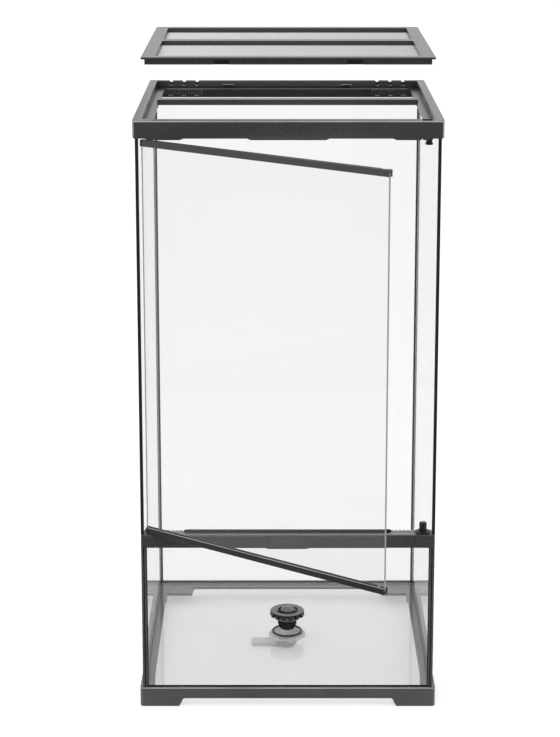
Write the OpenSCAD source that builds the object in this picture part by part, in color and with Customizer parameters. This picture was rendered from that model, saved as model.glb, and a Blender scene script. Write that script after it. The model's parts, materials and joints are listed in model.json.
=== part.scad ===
// Terrarium cabinet: five fixed glass panes in a dark moulded base frame and top frame, a framed
// glass door over a ventilated rail, a lift-off screen cover, gated cable inlets and a floor drain.
// Millimetres. The origin is the centre of the underside, +X right, +Y to the back, +Z up.
// A depth is counted back from the front plane of the frames; from_front() turns it into a Y.

/* [Cabinet] */
// Overall width over the frames
cab_w = 457; // [430:1:620]
// Overall depth over the frames
cab_d = 457; // [430:1:620]
// Height to the rim of the top frame
cab_h = 916.3; // [760:0.1:1100]
// Thickness of the fixed upright panes
pane_t = 4; // [3:0.5:5]
// Thickness of the floor pane
floor_t = 5; // [4:0.5:8]
// Play between a pane and the plastic beside it
pane_fit = 0.2; // [0.1:0.05:0.4]
// Thickness of the outer walls of both frames
skirt_t = 4; // [3.5:0.5:5]
// Width of the bevel on the corners of both frames
corner_bevel = 3; // [1:0.5:3.5]
// Depth of that bevel at the front of the base frame
base_corner_run = 4; // [2:0.5:12]
// Depth of that bevel at the front of the top frame
top_corner_run = 12; // [8:0.5:20]
// Radius of the dark beads between the panes
bead_r = 3; // [2:0.5:6]
// Thickness of the strips on the front edges of the side panes
strip_t = 1; // [0.6:0.1:1.4]
// How far the upper strips lap over the side panes
strip_lap = 1; // [0:0.1:1.2]
// Width of the strips in the lower corners
corner_strip_w = 9; // [6:0.5:14]

/* [Base frame] */
// Height of the base frame
base_h = 30.2; // [28:0.1:38]
// Height of the ledge that carries the panes
base_ledge_z = 24; // [21:0.5:26]
// Thickness of that ledge
base_ledge_t = 4; // [3:0.5:6]
// Width of the ledge at the sides, from the outer wall inwards
base_ledge_side = 15.5; // [12:0.5:22]
// Width of the ledge at the front
base_ledge_front = 15; // [12:0.5:30]
// Width of the ledge at the back
base_ledge_back = 20; // [16:0.5:30]
// Width of the gussets in the back corners
gusset_w = 45; // [20:1:60]
// Depth of the gussets in the back corners
gusset_d = 29; // [15:1:40]
// Length of a foot along each side
foot_l = 59; // [40:1:80]
// Height of the arches between the feet
arch_h = 12.9; // [6:0.1:16]
// Length of the curved rise from a foot to the arch
arch_run = 9; // [6:1:30]
// Distance of the inner foot wall from the outer face
foot_wall_in = 20; // [14:0.5:26]
// Thickness of the inner foot wall and of the foot ribs
foot_rib_t = 3; // [2:0.5:4]
// Height of the lower edge of that wall and of those ribs
foot_wall_z = 9; // [0:0.5:12]

/* [Mid rail] */
// Height of the top of the rail
rail_top = 280.2; // [220:0.1:360]
// Height of the rail's face
rail_h = 20.4; // [16:0.1:30]
// Depth of the rail
rail_d = 24.5; // [24.5:0.5:34]
// How far the ends of the rail stand in from the side of the frames
rail_inset = 4.5; // [4.3:0.1:6]
// Length of the end block under the hinge
hinge_block_l = 22; // [20:0.5:34]
// Length of the end block under the catch
catch_block_l = 29; // [29:0.5:40]
// Bevel along the rail's top front edge
rail_bevel = 1.6; // [0.5:0.1:3]
// Depth of the groove that takes the front pane
rail_groove = 3; // [2:0.5:5]
// Thickness of the rail's top wall
rail_wall = 3; // [2:0.5:4]
// Distance of the perforated vent strip's ends from the sides of the frames
strip_in = 70.5; // [62:0.5:110]
// Width of the vent strip
strip_w = 10; // [8:0.5:11]
// Length of the stretch without louvres beside the hinge block
rail_plain_l = 21; // [8:0.5:40]
// Length of the lip under the middle of the rail
rail_lip_l = 63; // [30:1:120]
// Height of that lip
rail_lip_h = 1.5; // [0.5:0.1:3]
// How far the vent strip stands above the rail
strip_h = 2.5; // [1:0.1:4]
// Distance between the vent strip's holes
strip_pitch = 7.5; // [6:0.5:12]
// Distance between the louvres beside the strip
louvre_pitch = 6; // [5:0.5:9]
// Width of a louvre
louvre_w = 2.8; // [1.5:0.1:4]
// Depth of a louvre
louvre_h = 1.6; // [1:0.1:2.5]
// Length of the plate in the middle of the rail's face
plate_l = 50; // [30:1:80]
// Height of that plate
plate_h = 13; // [8:0.5:16]
// Thickness of that plate
plate_t = 0.8; // [0.6:0.1:2]

/* [Top frame] */
// Height of the top frame's face
top_h = 25.6; // [24:0.1:40]
// Width of the rim at the sides and the back
rim_w = 12.5; // [11:0.5:14]
// Thickness of the rim
rim_t = 3.5; // [2.5:0.5:5]
// Depth of the hollow header over the door
header_d = 25; // [25:0.5:34]
// Thickness of the header's floor and back wall
header_wall = 3; // [2.8:0.1:3.5]
// Bevel along the header's top rear edge
header_bevel = 2.7; // [0.5:0.1:2.7]
// Depth of the ledge for the screen cover under the rim
lid_seat_drop = 11.3; // [9:0.1:13]
// Thickness of that ledge
lid_ledge_t = 2.5; // [2:0.5:4]
// Width of that ledge at the front and the sides
lid_ledge_w = 13; // [11:0.5:16]
// Width of that ledge at the back
back_ledge_w = 14.5; // [14.5:0.5:18]
// How far the inner walls reach down from the rim
inner_wall_h = 23.3; // [20:0.1:23.5]
// Height of the lips under the front face
lip_h = 2.2; // [1:0.1:4]
// Width of the bar across the top opening
bar_w = 20; // [14:0.5:26]
// How far the top of that bar lies below the rim
bar_low = 2.6; // [2.6:0.1:5]
// Depth at which that bar is centred
bar_at = 251.5; // [200:0.5:260]
// Width of a clip for the screen cover
clip_w = 18; // [10:0.5:22]
// Distance of the clips from the middle
clip_x = 98; // [60:1:120]

/* [Cable inlets] */
// Width of an inlet notch
inlet_w = 8; // [5:0.5:10]
// Depth of an inlet notch below the rim
inlet_h = 8; // [6:0.5:9]
// Depth of the notch in the outer wall behind it
inlet_wall_h = 3; // [2:0.5:4]
// Distance of the outermost inlet from the side of the frames
inlet_in = 35.5; // [35:0.5:60]
// Distance between the inlets of a group
inlet_pitch = 21.5; // [20.5:0.5:22]
// Width of a gate
gate_w = 19; // [14:0.5:19.5]
// Height of a gate
gate_h = 8.6; // [7:0.1:9]
// Travel of a gate
gate_travel = 6; // [4:0.5:6]

/* [Door] */
// Angle at which the door stands open
door_open = 36; // [0:1:110]
// Height of the door's rails
door_rail_h = 9.8; // [9:0.1:14]
// Thickness of the door's rails
door_rail_t = 9; // [8:0.5:9]
// Thickness of the door's pane
door_pane_t = 4; // [3:0.5:4]
// How far the door's face lies behind the front plane
door_inset = 1; // [0.5:0.1:1.2]
// Gap under and over the door
door_gap = 1; // [0.5:0.1:2]
// Distance of the hinge axis from the side of the frames
hinge_in = 20.5; // [19:0.5:24]
// Diameter of the hinge pins
hinge_pin_d = 5; // [3:0.5:5]
// How far the door reaches past the hinge axis
door_stub = 8; // [6:0.5:9]
// Gap between the door's free end and the side of the frames
door_free_gap = 10.5; // [9.8:0.1:13]
// Length of the cap on the hinge end of a door rail
hinge_cap_l = 20; // [16:0.5:30]
// How far the cap on the free end of a door rail reaches past the catch's flange
catch_cap_margin = 0.8; // [0.6:0.1:10]
// Radial play of the hinge pins in the door
hinge_play = 0.05; // [0.01:0.01:0.1]

/* [Catch] */
// Distance of the catch pins from the side of the frames
catch_in = 22.1; // [21:0.1:25]
// Depth of the catch pins behind the front plane
catch_at = 13; // [13:0.1:13.4]
// Diameter of the catch pins
catch_d = 11.4; // [8:0.1:11.6]
// Diameter of the round flange under the fixed pin
flange_d = 22; // [16:0.5:22]
// Thickness of that flange
flange_t = 2.5; // [1.5:0.1:3]
// Height of the fixed pin above the rail
stud_h = 16.4; // [11:0.1:20]
// How far the sprung pin hangs below the top frame
catch_drop = 10.7; // [8:0.1:14]
// Width of the lock button
button_w = 15; // [10:0.5:15.5]
// Distance of the lock button's slot from the front wall's inside
button_margin = 2; // [1:0.1:3]
// How far the lock button lies below the rim
button_low = 2; // [1:0.1:2.5]
// Travel of the lock button
button_travel = 3; // [1:0.1:3.5]
// Length of the lock's spring
spring_l = 11.3; // [9:0.1:13]
// Wire diameter of the lock's spring
spring_wire = 1.2; // [0.8:0.1:1.4]
// Turns of the lock's spring
spring_turns = 4; // [3:1:5]

/* [Screen cover] */
// How far the cover hovers above its seat
lid_lift = 90; // [0:1:200]
// Gap around the cover in the frame
lid_gap = 0.5; // [0.3:0.1:1]
// Width of the cover's frame
lid_rail_w = 20; // [17:0.5:26]
// Thickness of the cover's flange
lid_flange_t = 3; // [2:0.1:3.5]
// Radius of the cover's rear corners
lid_corner_r = 6; // [2:0.5:12]
// Distance of the cover's skirt from the flange's edge at the front and the back
lid_skirt_in = 6.5; // [5:0.1:6.5]
// Distance of the cover's skirt from the flange's edge at the sides
lid_skirt_side = 5; // [4:0.1:6.5]
// Thickness of the cover's skirt
lid_skirt_t = 3; // [2.5:0.1:3]
// Thickness of the walls that press on the mesh
lid_wall_t = 2.5; // [1.5:0.1:3]
// Thickness of the cover's cross bar on top
lid_bar_t = 2.2; // [1.5:0.1:2.4]
// Depth of the mesh below the cover's top
mesh_drop = 7.3; // [5:0.1:8]
// Thickness of the mesh
mesh_t = 1; // [0.6:0.1:1.5]
// Openings in a panel of the mesh from side to side
mesh_cols = 12; // [4:1:12]
// Openings in a panel of the mesh from front to back
mesh_rows = 6; // [2:1:12]
// Width of the bars between those openings
mesh_bar = 4; // [2:0.5:8]

/* [Drain] */
// Depth of the drain's centre
drain_at = 228.5; // [180:0.5:260]
// Diameter of the hole in the floor pane
drain_hole_d = 38; // [37:0.5:40]
// Outer diameter of the ring seal
ring_d = 50; // [46:0.5:54]
// Thickness of the ring seal
ring_t = 3; // [2:0.1:4]
// Diameter of the strainer's flange
strainer_d = 56; // [54:0.5:66]
// Outer diameter of the strainer's tube
tube_d = 34.6; // [30:0.1:34.8]
// How far the strainer is lifted off its seat
strainer_lift = 26.5; // [0:0.5:80]
// Thickness of the strainer's flange
strainer_flange_t = 3; // [2:0.1:4]
// Height of the teeth under the flange
tooth_h = 5.5; // [3:0.1:7]
// Number of teeth
teeth = 14; // [8:1:18]
// Number of windows in the strainer's tube
windows = 9; // [6:1:9]
// Width of a window
window_w = 9; // [6:0.5:9]
// Height of a window
window_h = 7; // [4:0.5:8]
// Diameter of the nut under the floor pane
nut_d = 60; // [50:0.5:66]
// Thickness of that nut
nut_t = 4; // [3:0.1:5]
// Diameter of the hose tail
tail_d = 14.5; // [12:0.1:15]
// How far the hose tail reaches from the drain's centre
tail_reach = 59; // [55:1:90]
// Number of barbs on the hose tail
barbs = 6; // [3:1:6]
// Length of a barb
barb_l = 4.6; // [3:0.1:5]
// Depth of a barb
barb_h = 0.8; // [0.4:0.1:1.2]
// Height of the hose tail's centre
tail_z = 8.5; // [8.5:0.1:9.5]

/* [Hidden] */
$fn = 64;

// Colours
moulding = "#3d3d3d";
moulding_dark = "#262626";
moulding_mid = "#6b6b6b";
glass_tint = [0.82, 0.88, 0.88, 0.35];
mesh_grey = [0.55, 0.55, 0.55, 0.6];

// A depth behind the front plane as a Y
function from_front(depth) = depth - cab_d / 2;
// A length that cuts right through whatever it meets
cut = 1;

// Panes
half_w = cab_w / 2;
skirt_in_x = half_w - skirt_t;
pane_out_x = skirt_in_x - pane_fit;
pane_in_x = pane_out_x - pane_t;
front_pane_y = from_front(skirt_t + pane_fit);
back_pane_y = from_front(cab_d - skirt_t - pane_fit - pane_t);
pane_gap = 2.3;
pane_top = cab_h - inlet_h - pane_gap;
floor_top = base_ledge_z + floor_t;
strip_groove_w = 1.6;
strip_web = 0.6 * strip_t;
cross_pane_x = pane_in_x - pane_fit;

// Mid rail
rail_z0 = rail_top - rail_h;
rail_x = half_w - rail_inset;
rail_left = hinge_block_l - rail_x;
rail_right = rail_x - catch_block_l;
groove_y = front_pane_y - pane_fit;
groove_w = pane_t + 2 * pane_fit;
rail_wall_y = groove_y + groove_w + rail_wall;
rail_back_wall = 2.5;
strip_l = cab_w - 2 * strip_in;
strip_fit = 0.2;
strip_y = from_front(door_inset + door_rail_t + 0.5);
tongue_w = strip_w - 5.4;
tongue_y = strip_y + (strip_w - tongue_w) / 2;
tongue_l = strip_l - 17;
strip_hole_l = 3.5;
strip_hole_w = tongue_w - 1.6;
strip_holes = floor((tongue_l - 2 * strip_hole_l) / strip_pitch);
louvre_front = strip_y + 2;
rail_seam = 0.3;
louvre_margin = 2;

// Top frame
top_z0 = cab_h - top_h;
rim_under = cab_h - rim_t;
rim_in_x = half_w - rim_w;
rim_in_y = from_front(cab_d - rim_w);
header_y = from_front(header_d);
header_floor = top_z0 + header_wall;
lid_seat = cab_h - lid_seat_drop;
ledge_in_x = rim_in_x - lid_ledge_w;
ledge_front_y = header_y + lid_ledge_w;
ledge_back_y = rim_in_y - back_ledge_w;
inner_wall_z = cab_h - inner_wall_h;
inner_wall_x = pane_in_x - pane_fit;
inner_wall_y = back_pane_y - pane_fit;
channel_wall_t = 2.5;
channel_wall_z = top_z0 + 0.3;
bar_y = from_front(bar_at - bar_w / 2);
bar_wall = 2;
bar_x = ledge_in_x + 1.5;
corner_lip_l = 55.5;
corner_lip_in = 19.5;
corner_lip_end = half_w - corner_lip_in;
middle_lip_l = 120;
lip_notch_x = corner_lip_end - 13.5;
lip_notch = 2;

// Door, in its closed place
hinge_x = hinge_in - half_w;
hinge_y = from_front(door_inset + door_rail_t / 2);
door_y = from_front(door_inset);
door_left = hinge_x - door_stub;
door_right = half_w - door_free_gap;
door_z0 = rail_top + door_gap;
door_z1 = top_z0 - lip_h - door_gap / 2;
pane_seat = 5;
door_pane_y = door_y + (door_rail_t - door_pane_t) / 2 - 0.5;
door_pane_end = 0.8;
cap_left = door_left + hinge_cap_l;
hinge_bore_r = hinge_pin_d / 2 + hinge_play;
pin_end_gap = 0.3;
hinge_floor = 1;
hinge_reach = door_rail_h - pane_seat - hinge_floor - pin_end_gap;

// Catch and lock
catch_x = half_w - catch_in;
catch_y = from_front(catch_at);
catch_r = catch_d / 2;
catch_play = 0.6;
cap_right = catch_x - flange_d / 2 - catch_play - catch_cap_margin;
button_x = catch_x - 2.6;
button_fit = 0.3;
button_slot_y = [from_front(skirt_t + button_margin), header_y - header_wall];
button_z0 = header_floor + spring_l;
button_top = cab_h - button_low;
button_stop_t = 2;
lock_hole_play = 0.1;

// Cable inlets
gate_clear = 0.3;
gate_t = 2.3;
gate_top = lid_seat - 0.4;
gate_face_y = ledge_back_y - gate_clear;
gate_slot_w = 6.6;
stem_h = 2.4;
stem_top = lid_seat - lid_ledge_t - 0.5;
gate_slot_z0 = stem_top - stem_h - gate_travel - gate_clear;
catch_plate_w = 12;
inlet_step_in = 1.6;
inlet_step = [2, 1, 0, 0, 1, 2];
inlet_out_x = half_w - inlet_in;
inlet_places = [for (i = [0:5]) (i < 3 ? -1 : 1) * (inlet_out_x - (2 - inlet_step[i]) * inlet_pitch)];

// Screen cover, on its seat
lid_x = rim_in_x - lid_gap;
lid_y0 = header_y + lid_gap;
lid_y1 = rim_in_y - lid_gap;
lid_skirt_x = lid_x - lid_skirt_side;
lid_skirt_y0 = lid_y0 + lid_skirt_in;
lid_skirt_y1 = lid_y1 - lid_skirt_in;
flange_z = cab_h - lid_flange_t;
mesh_top = cab_h - mesh_drop;
mesh_gap = 1;
lid_bar_play = 0.5;
lid_bar_wall = 1.7;
lid_bar_y0 = bar_y - lid_bar_play - lid_bar_wall;
lid_bar_y1 = bar_y + bar_w + lid_bar_play + lid_bar_wall;
pocket_depth = 2;
clip_z = [flange_z - 4, flange_z - 2];
clip_back_t = 1.2;
clip_bite = 1;
pocket_top = clip_z[1] + 0.6;
pocket_w = clip_w + 5;

// Drain
drain_y = from_front(drain_at);
ring_top = floor_top + ring_t;
seat_z = ring_top + strainer_lift;
strainer_flange_z = seat_z + tooth_h;
tube_h = 12;
tube_wall = 2;
window_drop = 0.8;
cup_h = 18;
cup_straight = 4;
cup_in = 1.7;
tip_r = 6.5;
bowl_d = drain_hole_d - 2 * pane_fit;
bowl_wall = 1.2;
bowl_z0 = 3;
socket_d = 16;
socket_x = 24;
spigot_d = 11.2;
spigot_x = 16.5;
tail_bore = 9;

// A box between two corners given as [low, high] on each axis
module block(x, y, z) {
    translate([x[0], y[0], z[0]]) cube([x[1] - x[0], y[1] - y[0], z[1] - z[0]]);
}

// What it holds, and its mirror image on the other side
module both_sides() {
    children();
    mirror([1, 0, 0]) children();
}

// Plan of a frame, with its front bevels as deep as stated and plain ones at the back
module frame_plan(run) {
    x = half_w - corner_bevel;
    y = cab_d / 2;
    polygon([[-x, -y], [x, -y], [half_w, run - y], [half_w, y - corner_bevel], [x, y], [-x, y],
        [-half_w, y - corner_bevel], [-half_w, run - y]]);
}

// Face of an arch between two feet, with soft rises at its ends
module arch_face(span) {
    steps = 6;
    rise = [for (i = [0:steps]) [-i / steps * arch_run, arch_h * (1 - cos(180 * i / steps)) / 2]];
    foot = span / 2 - foot_l;
    polygon(concat([[foot, -cut]], [for (p = rise) [foot + p[0], p[1]]],
        [for (i = [steps:-1:0]) [-foot - rise[i][0], rise[i][1]]], [[-foot, -cut]]));
}

// The spaces under the base, from front to back and from side to side
module arches() {
    rotate([90, 0, 0]) linear_extrude(cab_d + 2 * cut, center = true) arch_face(cab_w);
    rotate([90, 0, 90]) linear_extrude(cab_w + 2 * cut, center = true) arch_face(cab_d);
}

// Stiffeners inside one foot: two inner walls and two ribs
module foot_walls() {
    wall_x = [half_w - foot_wall_in, half_w - foot_wall_in + foot_rib_t];
    wall_y = [cab_d / 2 - foot_wall_in, cab_d / 2 - foot_wall_in + foot_rib_t];
    rib_x = [half_w - foot_l, half_w - foot_l + foot_rib_t];
    rib_y = [cab_d / 2 - foot_l, cab_d / 2 - foot_l + foot_rib_t];
    wall_z = [foot_wall_z, base_ledge_z];
    block(wall_x, [rib_y[0], wall_y[1]], wall_z);
    block([rib_x[0], wall_x[1]], wall_y, wall_z);
    block(rib_x, [wall_y[0], cab_d / 2 - skirt_t], wall_z);
    block([wall_x[0], half_w - skirt_t], rib_y, wall_z);
}

module base_frame() color(moulding) {
    opening_x = skirt_in_x - base_ledge_side;
    opening_y = [from_front(skirt_t + base_ledge_front), from_front(cab_d - skirt_t - base_ledge_back)];
    difference() {
        union() {
            difference() {
                linear_extrude(base_h) frame_plan(base_corner_run);
                block([-skirt_in_x, skirt_in_x], [from_front(skirt_t), from_front(cab_d - skirt_t)],
                    [-cut, base_h + cut]);
            }
            difference() {
                block([-skirt_in_x, skirt_in_x], [from_front(skirt_t), from_front(cab_d - skirt_t)],
                    [base_ledge_z - base_ledge_t, base_ledge_z]);
                block([-opening_x, opening_x], opening_y, [0, base_h]);
            }
            both_sides() block([opening_x - gusset_w, opening_x], [opening_y[1] - gusset_d, opening_y[1]],
                [base_ledge_z - base_ledge_t, base_ledge_z]);
            both_sides() {
                foot_walls();
                mirror([0, 1, 0]) foot_walls();
            }
        }
        arches();
    }
}

module floor_pane() color(glass_tint) difference() {
    block([-cross_pane_x, cross_pane_x], [front_pane_y + pane_t + pane_fit, back_pane_y - pane_fit],
        [base_ledge_z, floor_top]);
    translate([0, drain_y, base_ledge_z - cut]) cylinder(d = drain_hole_d, h = floor_t + 2 * cut);
}

module back_pane() color(glass_tint)
    block([-cross_pane_x, cross_pane_x], [back_pane_y, back_pane_y + pane_t], [base_ledge_z, pane_top]);

module side_pane()
    block([pane_in_x, pane_out_x], [front_pane_y, back_pane_y + pane_t], [base_ledge_z, pane_top]);

module left_pane() color(glass_tint) mirror([1, 0, 0]) side_pane();

module right_pane() color(glass_tint) side_pane();

module front_pane() color(glass_tint)
    block([-cross_pane_x, cross_pane_x], [front_pane_y, front_pane_y + pane_t],
        [base_ledge_z, rail_z0 + rail_groove - pane_fit]);

// Bead with a hollow face that fills an inner corner at the origin, towards -X and +Y
module bead(height) linear_extrude(height) difference() {
    translate([-bead_r, 0]) square(bead_r);
    translate([-bead_r, bead_r]) circle(bead_r);
}

module back_corner_seals() color(moulding_dark)
    both_sides() translate([pane_in_x, back_pane_y, floor_top]) mirror([0, 1, 0])
        bead(inner_wall_z - floor_top);

// Beads in the front corners, and one along the front of the floor pane
module front_corner_seals() color(moulding_dark) {
    both_sides() translate([pane_in_x, front_pane_y + pane_t, floor_top]) bead(rail_z0 - floor_top);
    translate([-pane_in_x, front_pane_y + pane_t, floor_top]) rotate([0, 90, 0]) bead(2 * pane_in_x);
}

module upper_edge_strips() color(moulding_dark)
    both_sides() block([pane_in_x - strip_lap, pane_out_x], [front_pane_y - strip_t, front_pane_y],
        [rail_top, top_z0]);

// Strips with a step along the inner edge and a groove in front of the side pane's inner face
module lower_corner_strips() color(moulding_dark) both_sides() difference() {
    inner = pane_out_x - corner_strip_w;
    groove = [pane_in_x - strip_groove_w / 2, pane_in_x + strip_groove_w / 2];
    block([inner, pane_out_x], [front_pane_y - strip_t, front_pane_y], [base_h, rail_z0]);
    for (x = [[inner - cut, inner + strip_groove_w], groove])
        block(x, [front_pane_y - strip_t - cut, front_pane_y - strip_web], [0, rail_top]);
}

// Section of the rail and its end blocks, with its front at the left
module rail_section() {
    polygon([[from_front(0), rail_z0], [from_front(rail_d), rail_z0], [from_front(rail_d), rail_top],
        [from_front(rail_bevel), rail_top], [from_front(0), rail_top - rail_bevel]]);
}

module rail_bar(x0, x1) difference() {
    translate([x0, 0, 0]) rotate([90, 0, 90]) linear_extrude(x1 - x0) rail_section();
    block([x0 - cut, x1 + cut], [groove_y, groove_y + groove_w], [rail_z0 - cut, rail_z0 + rail_groove]);
}

module louvres(x0, x1) {
    count = round((x1 - x0) / louvre_pitch);
    for (i = [0:count - 1]) translate([x0 + (i + 0.5) * louvre_pitch, 0, 0])
        block([-louvre_w / 2, louvre_w / 2], [louvre_front, from_front(rail_d) + cut],
            [rail_top - louvre_h, rail_top + cut]);
}

module mid_rail() color(moulding) difference() {
    union() {
        rail_bar(rail_left + rail_seam, rail_right - rail_seam);
        block([-rail_lip_l / 2, rail_lip_l / 2], [from_front(0), groove_y - pane_fit],
            [rail_z0 - rail_lip_h, rail_z0]);
    }
    block([rail_left + rail_wall, rail_right - rail_wall],
        [rail_wall_y, from_front(rail_d - rail_back_wall)], [rail_z0 - cut, rail_top - rail_wall]);
    block([-tongue_l / 2 - strip_fit, tongue_l / 2 + strip_fit],
        [tongue_y - strip_fit, tongue_y + tongue_w + strip_fit], [rail_z0, rail_top + cut]);
    louvres(rail_left + rail_plain_l, -strip_l / 2);
    louvres(strip_l / 2 + louvre_margin, rail_right - louvre_margin / 2);
    block([-plate_l / 2 - strip_fit, plate_l / 2 + strip_fit], [from_front(-cut), from_front(plate_t)],
        [rail_z0 + (rail_h - plate_h) / 2 - strip_fit, rail_z0 + (rail_h + plate_h) / 2 + strip_fit]);
}

// End block between the panes, with a cheek in front of the side pane's edge; drawn for the right
module end_block(length) {
    rail_bar(rail_x - length, cross_pane_x);
    difference() {
        rail_bar(cross_pane_x, rail_x);
        block([cross_pane_x - cut, rail_x + cut], [front_pane_y, from_front(rail_d) + cut],
            [rail_z0 - cut, rail_top + cut]);
    }
}

module rail_hinge_block() color(moulding) difference() {
    mirror([1, 0, 0]) end_block(hinge_block_l);
    translate([hinge_x, hinge_y, rail_top - 12]) cylinder(d = hinge_pin_d + 0.1, h = 12 + cut);
}

module rail_catch_block() color(moulding) difference() {
    end_block(catch_block_l);
    translate([catch_x, catch_y, rail_top - 9]) cylinder(d = 8.1, h = 9 + cut);
}

module vent_strip() color(moulding_dark) difference() {
    union() {
        translate([0, strip_y + strip_w / 2, rail_top]) linear_extrude(strip_h) {
            square([strip_l - strip_w, strip_w], center = true);
            for (side = [-1, 1]) translate([side * (strip_l - strip_w) / 2, 0]) circle(d = strip_w);
        }
        block([-tongue_l / 2, tongue_l / 2], [tongue_y, tongue_y + tongue_w],
            [rail_top - rail_wall, rail_top]);
    }
    for (i = [0:strip_holes - 1])
        translate([(i - (strip_holes - 1) / 2) * strip_pitch, strip_y + strip_w / 2, rail_top])
            cube([strip_hole_l, strip_hole_w, 4 * rail_wall], center = true);
}

module rail_plate() color(moulding_mid)
    block([-plate_l / 2, plate_l / 2], [from_front(0), from_front(plate_t)],
        [rail_z0 + (rail_h - plate_h) / 2, rail_z0 + (rail_h + plate_h) / 2]);

// A lip under the front face with sloping ends
module lip(x0, x1) translate([0, from_front(skirt_t), top_z0]) rotate([90, 0, 0]) linear_extrude(skirt_t)
    polygon([[x0, 0], [x0 + 2 * lip_h, -lip_h], [x1 - 2 * lip_h, -lip_h], [x1, 0]]);

// Rim, outer walls, inner walls, header and ledges as one moulding
module frame_body() {
    difference() {
        translate([0, 0, top_z0]) linear_extrude(top_h) frame_plan(top_corner_run);
        block([-skirt_in_x, skirt_in_x], [from_front(skirt_t), from_front(cab_d - skirt_t)],
            [top_z0 - cut, rim_under]);
        block([-rim_in_x, rim_in_x], [header_y, rim_in_y], [top_z0, cab_h + cut]);
    }
    // inner walls beside the panes
    both_sides() block([rim_in_x, inner_wall_x], [from_front(skirt_t), inner_wall_y],
        [inner_wall_z, rim_under]);
    block([-inner_wall_x, inner_wall_x], [rim_in_y, inner_wall_y], [inner_wall_z, rim_under]);
    // header over the door
    block([-inner_wall_x, inner_wall_x], [from_front(skirt_t), header_y], [top_z0, header_floor]);
    block([-rim_in_x, rim_in_x], [header_y - header_wall, header_y], [top_z0, rim_under]);
    both_sides() block([rim_in_x, inner_wall_x], [from_front(skirt_t), header_y], [top_z0, inner_wall_z]);
    // ledge for the screen cover
    difference() {
        block([-rim_in_x, rim_in_x], [header_y, rim_in_y], [lid_seat - lid_ledge_t, lid_seat]);
        block([-ledge_in_x, ledge_in_x], [ledge_front_y, ledge_back_y], [top_z0, cab_h]);
    }
    // front wall of the cable channel
    block([-rim_in_x, rim_in_x], [ledge_back_y, ledge_back_y + channel_wall_t],
        [channel_wall_z, lid_seat]);
    both_sides() block([ledge_in_x, rim_in_x], [ledge_back_y, rim_in_y], [channel_wall_z, lid_seat]);
    // lips under the front face
    both_sides() lip(corner_lip_end - corner_lip_l, corner_lip_end);
    lip(-middle_lip_l / 2, middle_lip_l / 2);
}

// A notch with a round bottom, from one Y to another
module inlet_notch(width, depth, y) {
    floor_z = cab_h - depth + width / 2;
    translate([0, y[0], floor_z]) rotate([-90, 0, 0]) cylinder(d = width, h = y[1] - y[0]);
    block([-width / 2, width / 2], y, [floor_z, floor_z + inlet_h]);
}

module top_frame() color(moulding) difference() {
    frame_body();
    // cable notches in the rim and its outer wall, holes in the ledge and slots for the gates
    for (x = inlet_places) translate([x, 0, 0]) {
        inlet_notch(inlet_w, inlet_h, [rim_in_y - cut, from_front(cab_d - skirt_t)]);
        inlet_notch(inlet_w - inlet_step_in, inlet_wall_h, [rim_in_y, from_front(cab_d + cut)]);
        block([-inlet_w / 2, inlet_w / 2], [lid_skirt_y1 + 0.5, rim_in_y - 0.5],
            [lid_seat - lid_ledge_t - cut, lid_seat + cut]);
        block([-gate_slot_w / 2, gate_slot_w / 2],
            [ledge_back_y - cut, ledge_back_y + channel_wall_t + cut],
            [gate_slot_z0, lid_seat - lid_ledge_t]);
    }
    // bevel along the header's top rear edge
    translate([-rim_in_x, header_y, cab_h]) rotate([90, 0, 90]) linear_extrude(2 * rim_in_x)
        polygon([[-header_bevel, 0], [0, -header_bevel], [cut, -header_bevel], [cut, cut],
            [-header_bevel, cut]]);
    // hinge pin, catch pin and lock button
    translate([hinge_x, hinge_y, top_z0 - lip_h - cut])
        cylinder(d = hinge_pin_d + 0.1, h = lip_h + header_wall + 2 * cut);
    translate([catch_x, catch_y, top_z0 - cut])
        cylinder(r = catch_r + lock_hole_play, h = header_wall + 2 * cut);
    block([button_x - button_w / 2 - button_fit, button_x + button_w / 2 + button_fit], button_slot_y,
        [rim_under - cut, cab_h + cut]);
    // notches in the corner lips
    both_sides() translate([lip_notch_x, from_front(skirt_t + cut), top_z0 - lip_h]) rotate([90, 0, 0])
        linear_extrude(skirt_t + 2 * cut)
            polygon([[-lip_notch, -cut / 2], [0, lip_h], [lip_notch, -cut / 2]]);
}

module top_cross_bar() color(moulding) difference() {
    block([-bar_x, bar_x], [bar_y, bar_y + bar_w],
        [lid_seat, cab_h - bar_low]);
    block([-bar_x - cut, bar_x + cut], [bar_y + bar_wall, bar_y + bar_w - bar_wall],
        [lid_seat - cut, cab_h - bar_low - bar_wall]);
}

// A clip with its back at the origin, pointing towards +Y
module clip(reach) {
    block([-clip_w / 2, clip_w / 2], [0, clip_back_t], [lid_seat, clip_z[1]]);
    block([-clip_w / 2, clip_w / 2], [0, reach], clip_z);
}

module lid_clips() color(moulding_mid) both_sides() {
    translate([clip_x, header_y, 0]) clip(lid_skirt_y0 - header_y + clip_bite);
    translate([clip_x, rim_in_y, 0]) mirror([0, 1, 0]) clip(rim_in_y - lid_skirt_y1 + clip_bite);
}

module hinge_pin_top() color("silver") translate([hinge_x, hinge_y, door_z1 - hinge_reach])
    cylinder(d = hinge_pin_d, h = header_floor - door_z1 + hinge_reach);

module hinge_pin_bottom() color("silver") translate([hinge_x, hinge_y, rail_top - 12])
    cylinder(d = hinge_pin_d, h = 12 + door_gap + hinge_reach);

module catch_pin_bottom() color(moulding_dark) translate([catch_x, catch_y, rail_top]) {
    translate([0, 0, -9]) cylinder(d = 8, h = 9);
    cylinder(d = flange_d, h = flange_t);
    rotate_extrude() polygon([[0, 0], [catch_r, 0], [catch_r, stud_h - 0.8], [catch_r - 0.8, stud_h],
        [0, stud_h]]);
}

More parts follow.
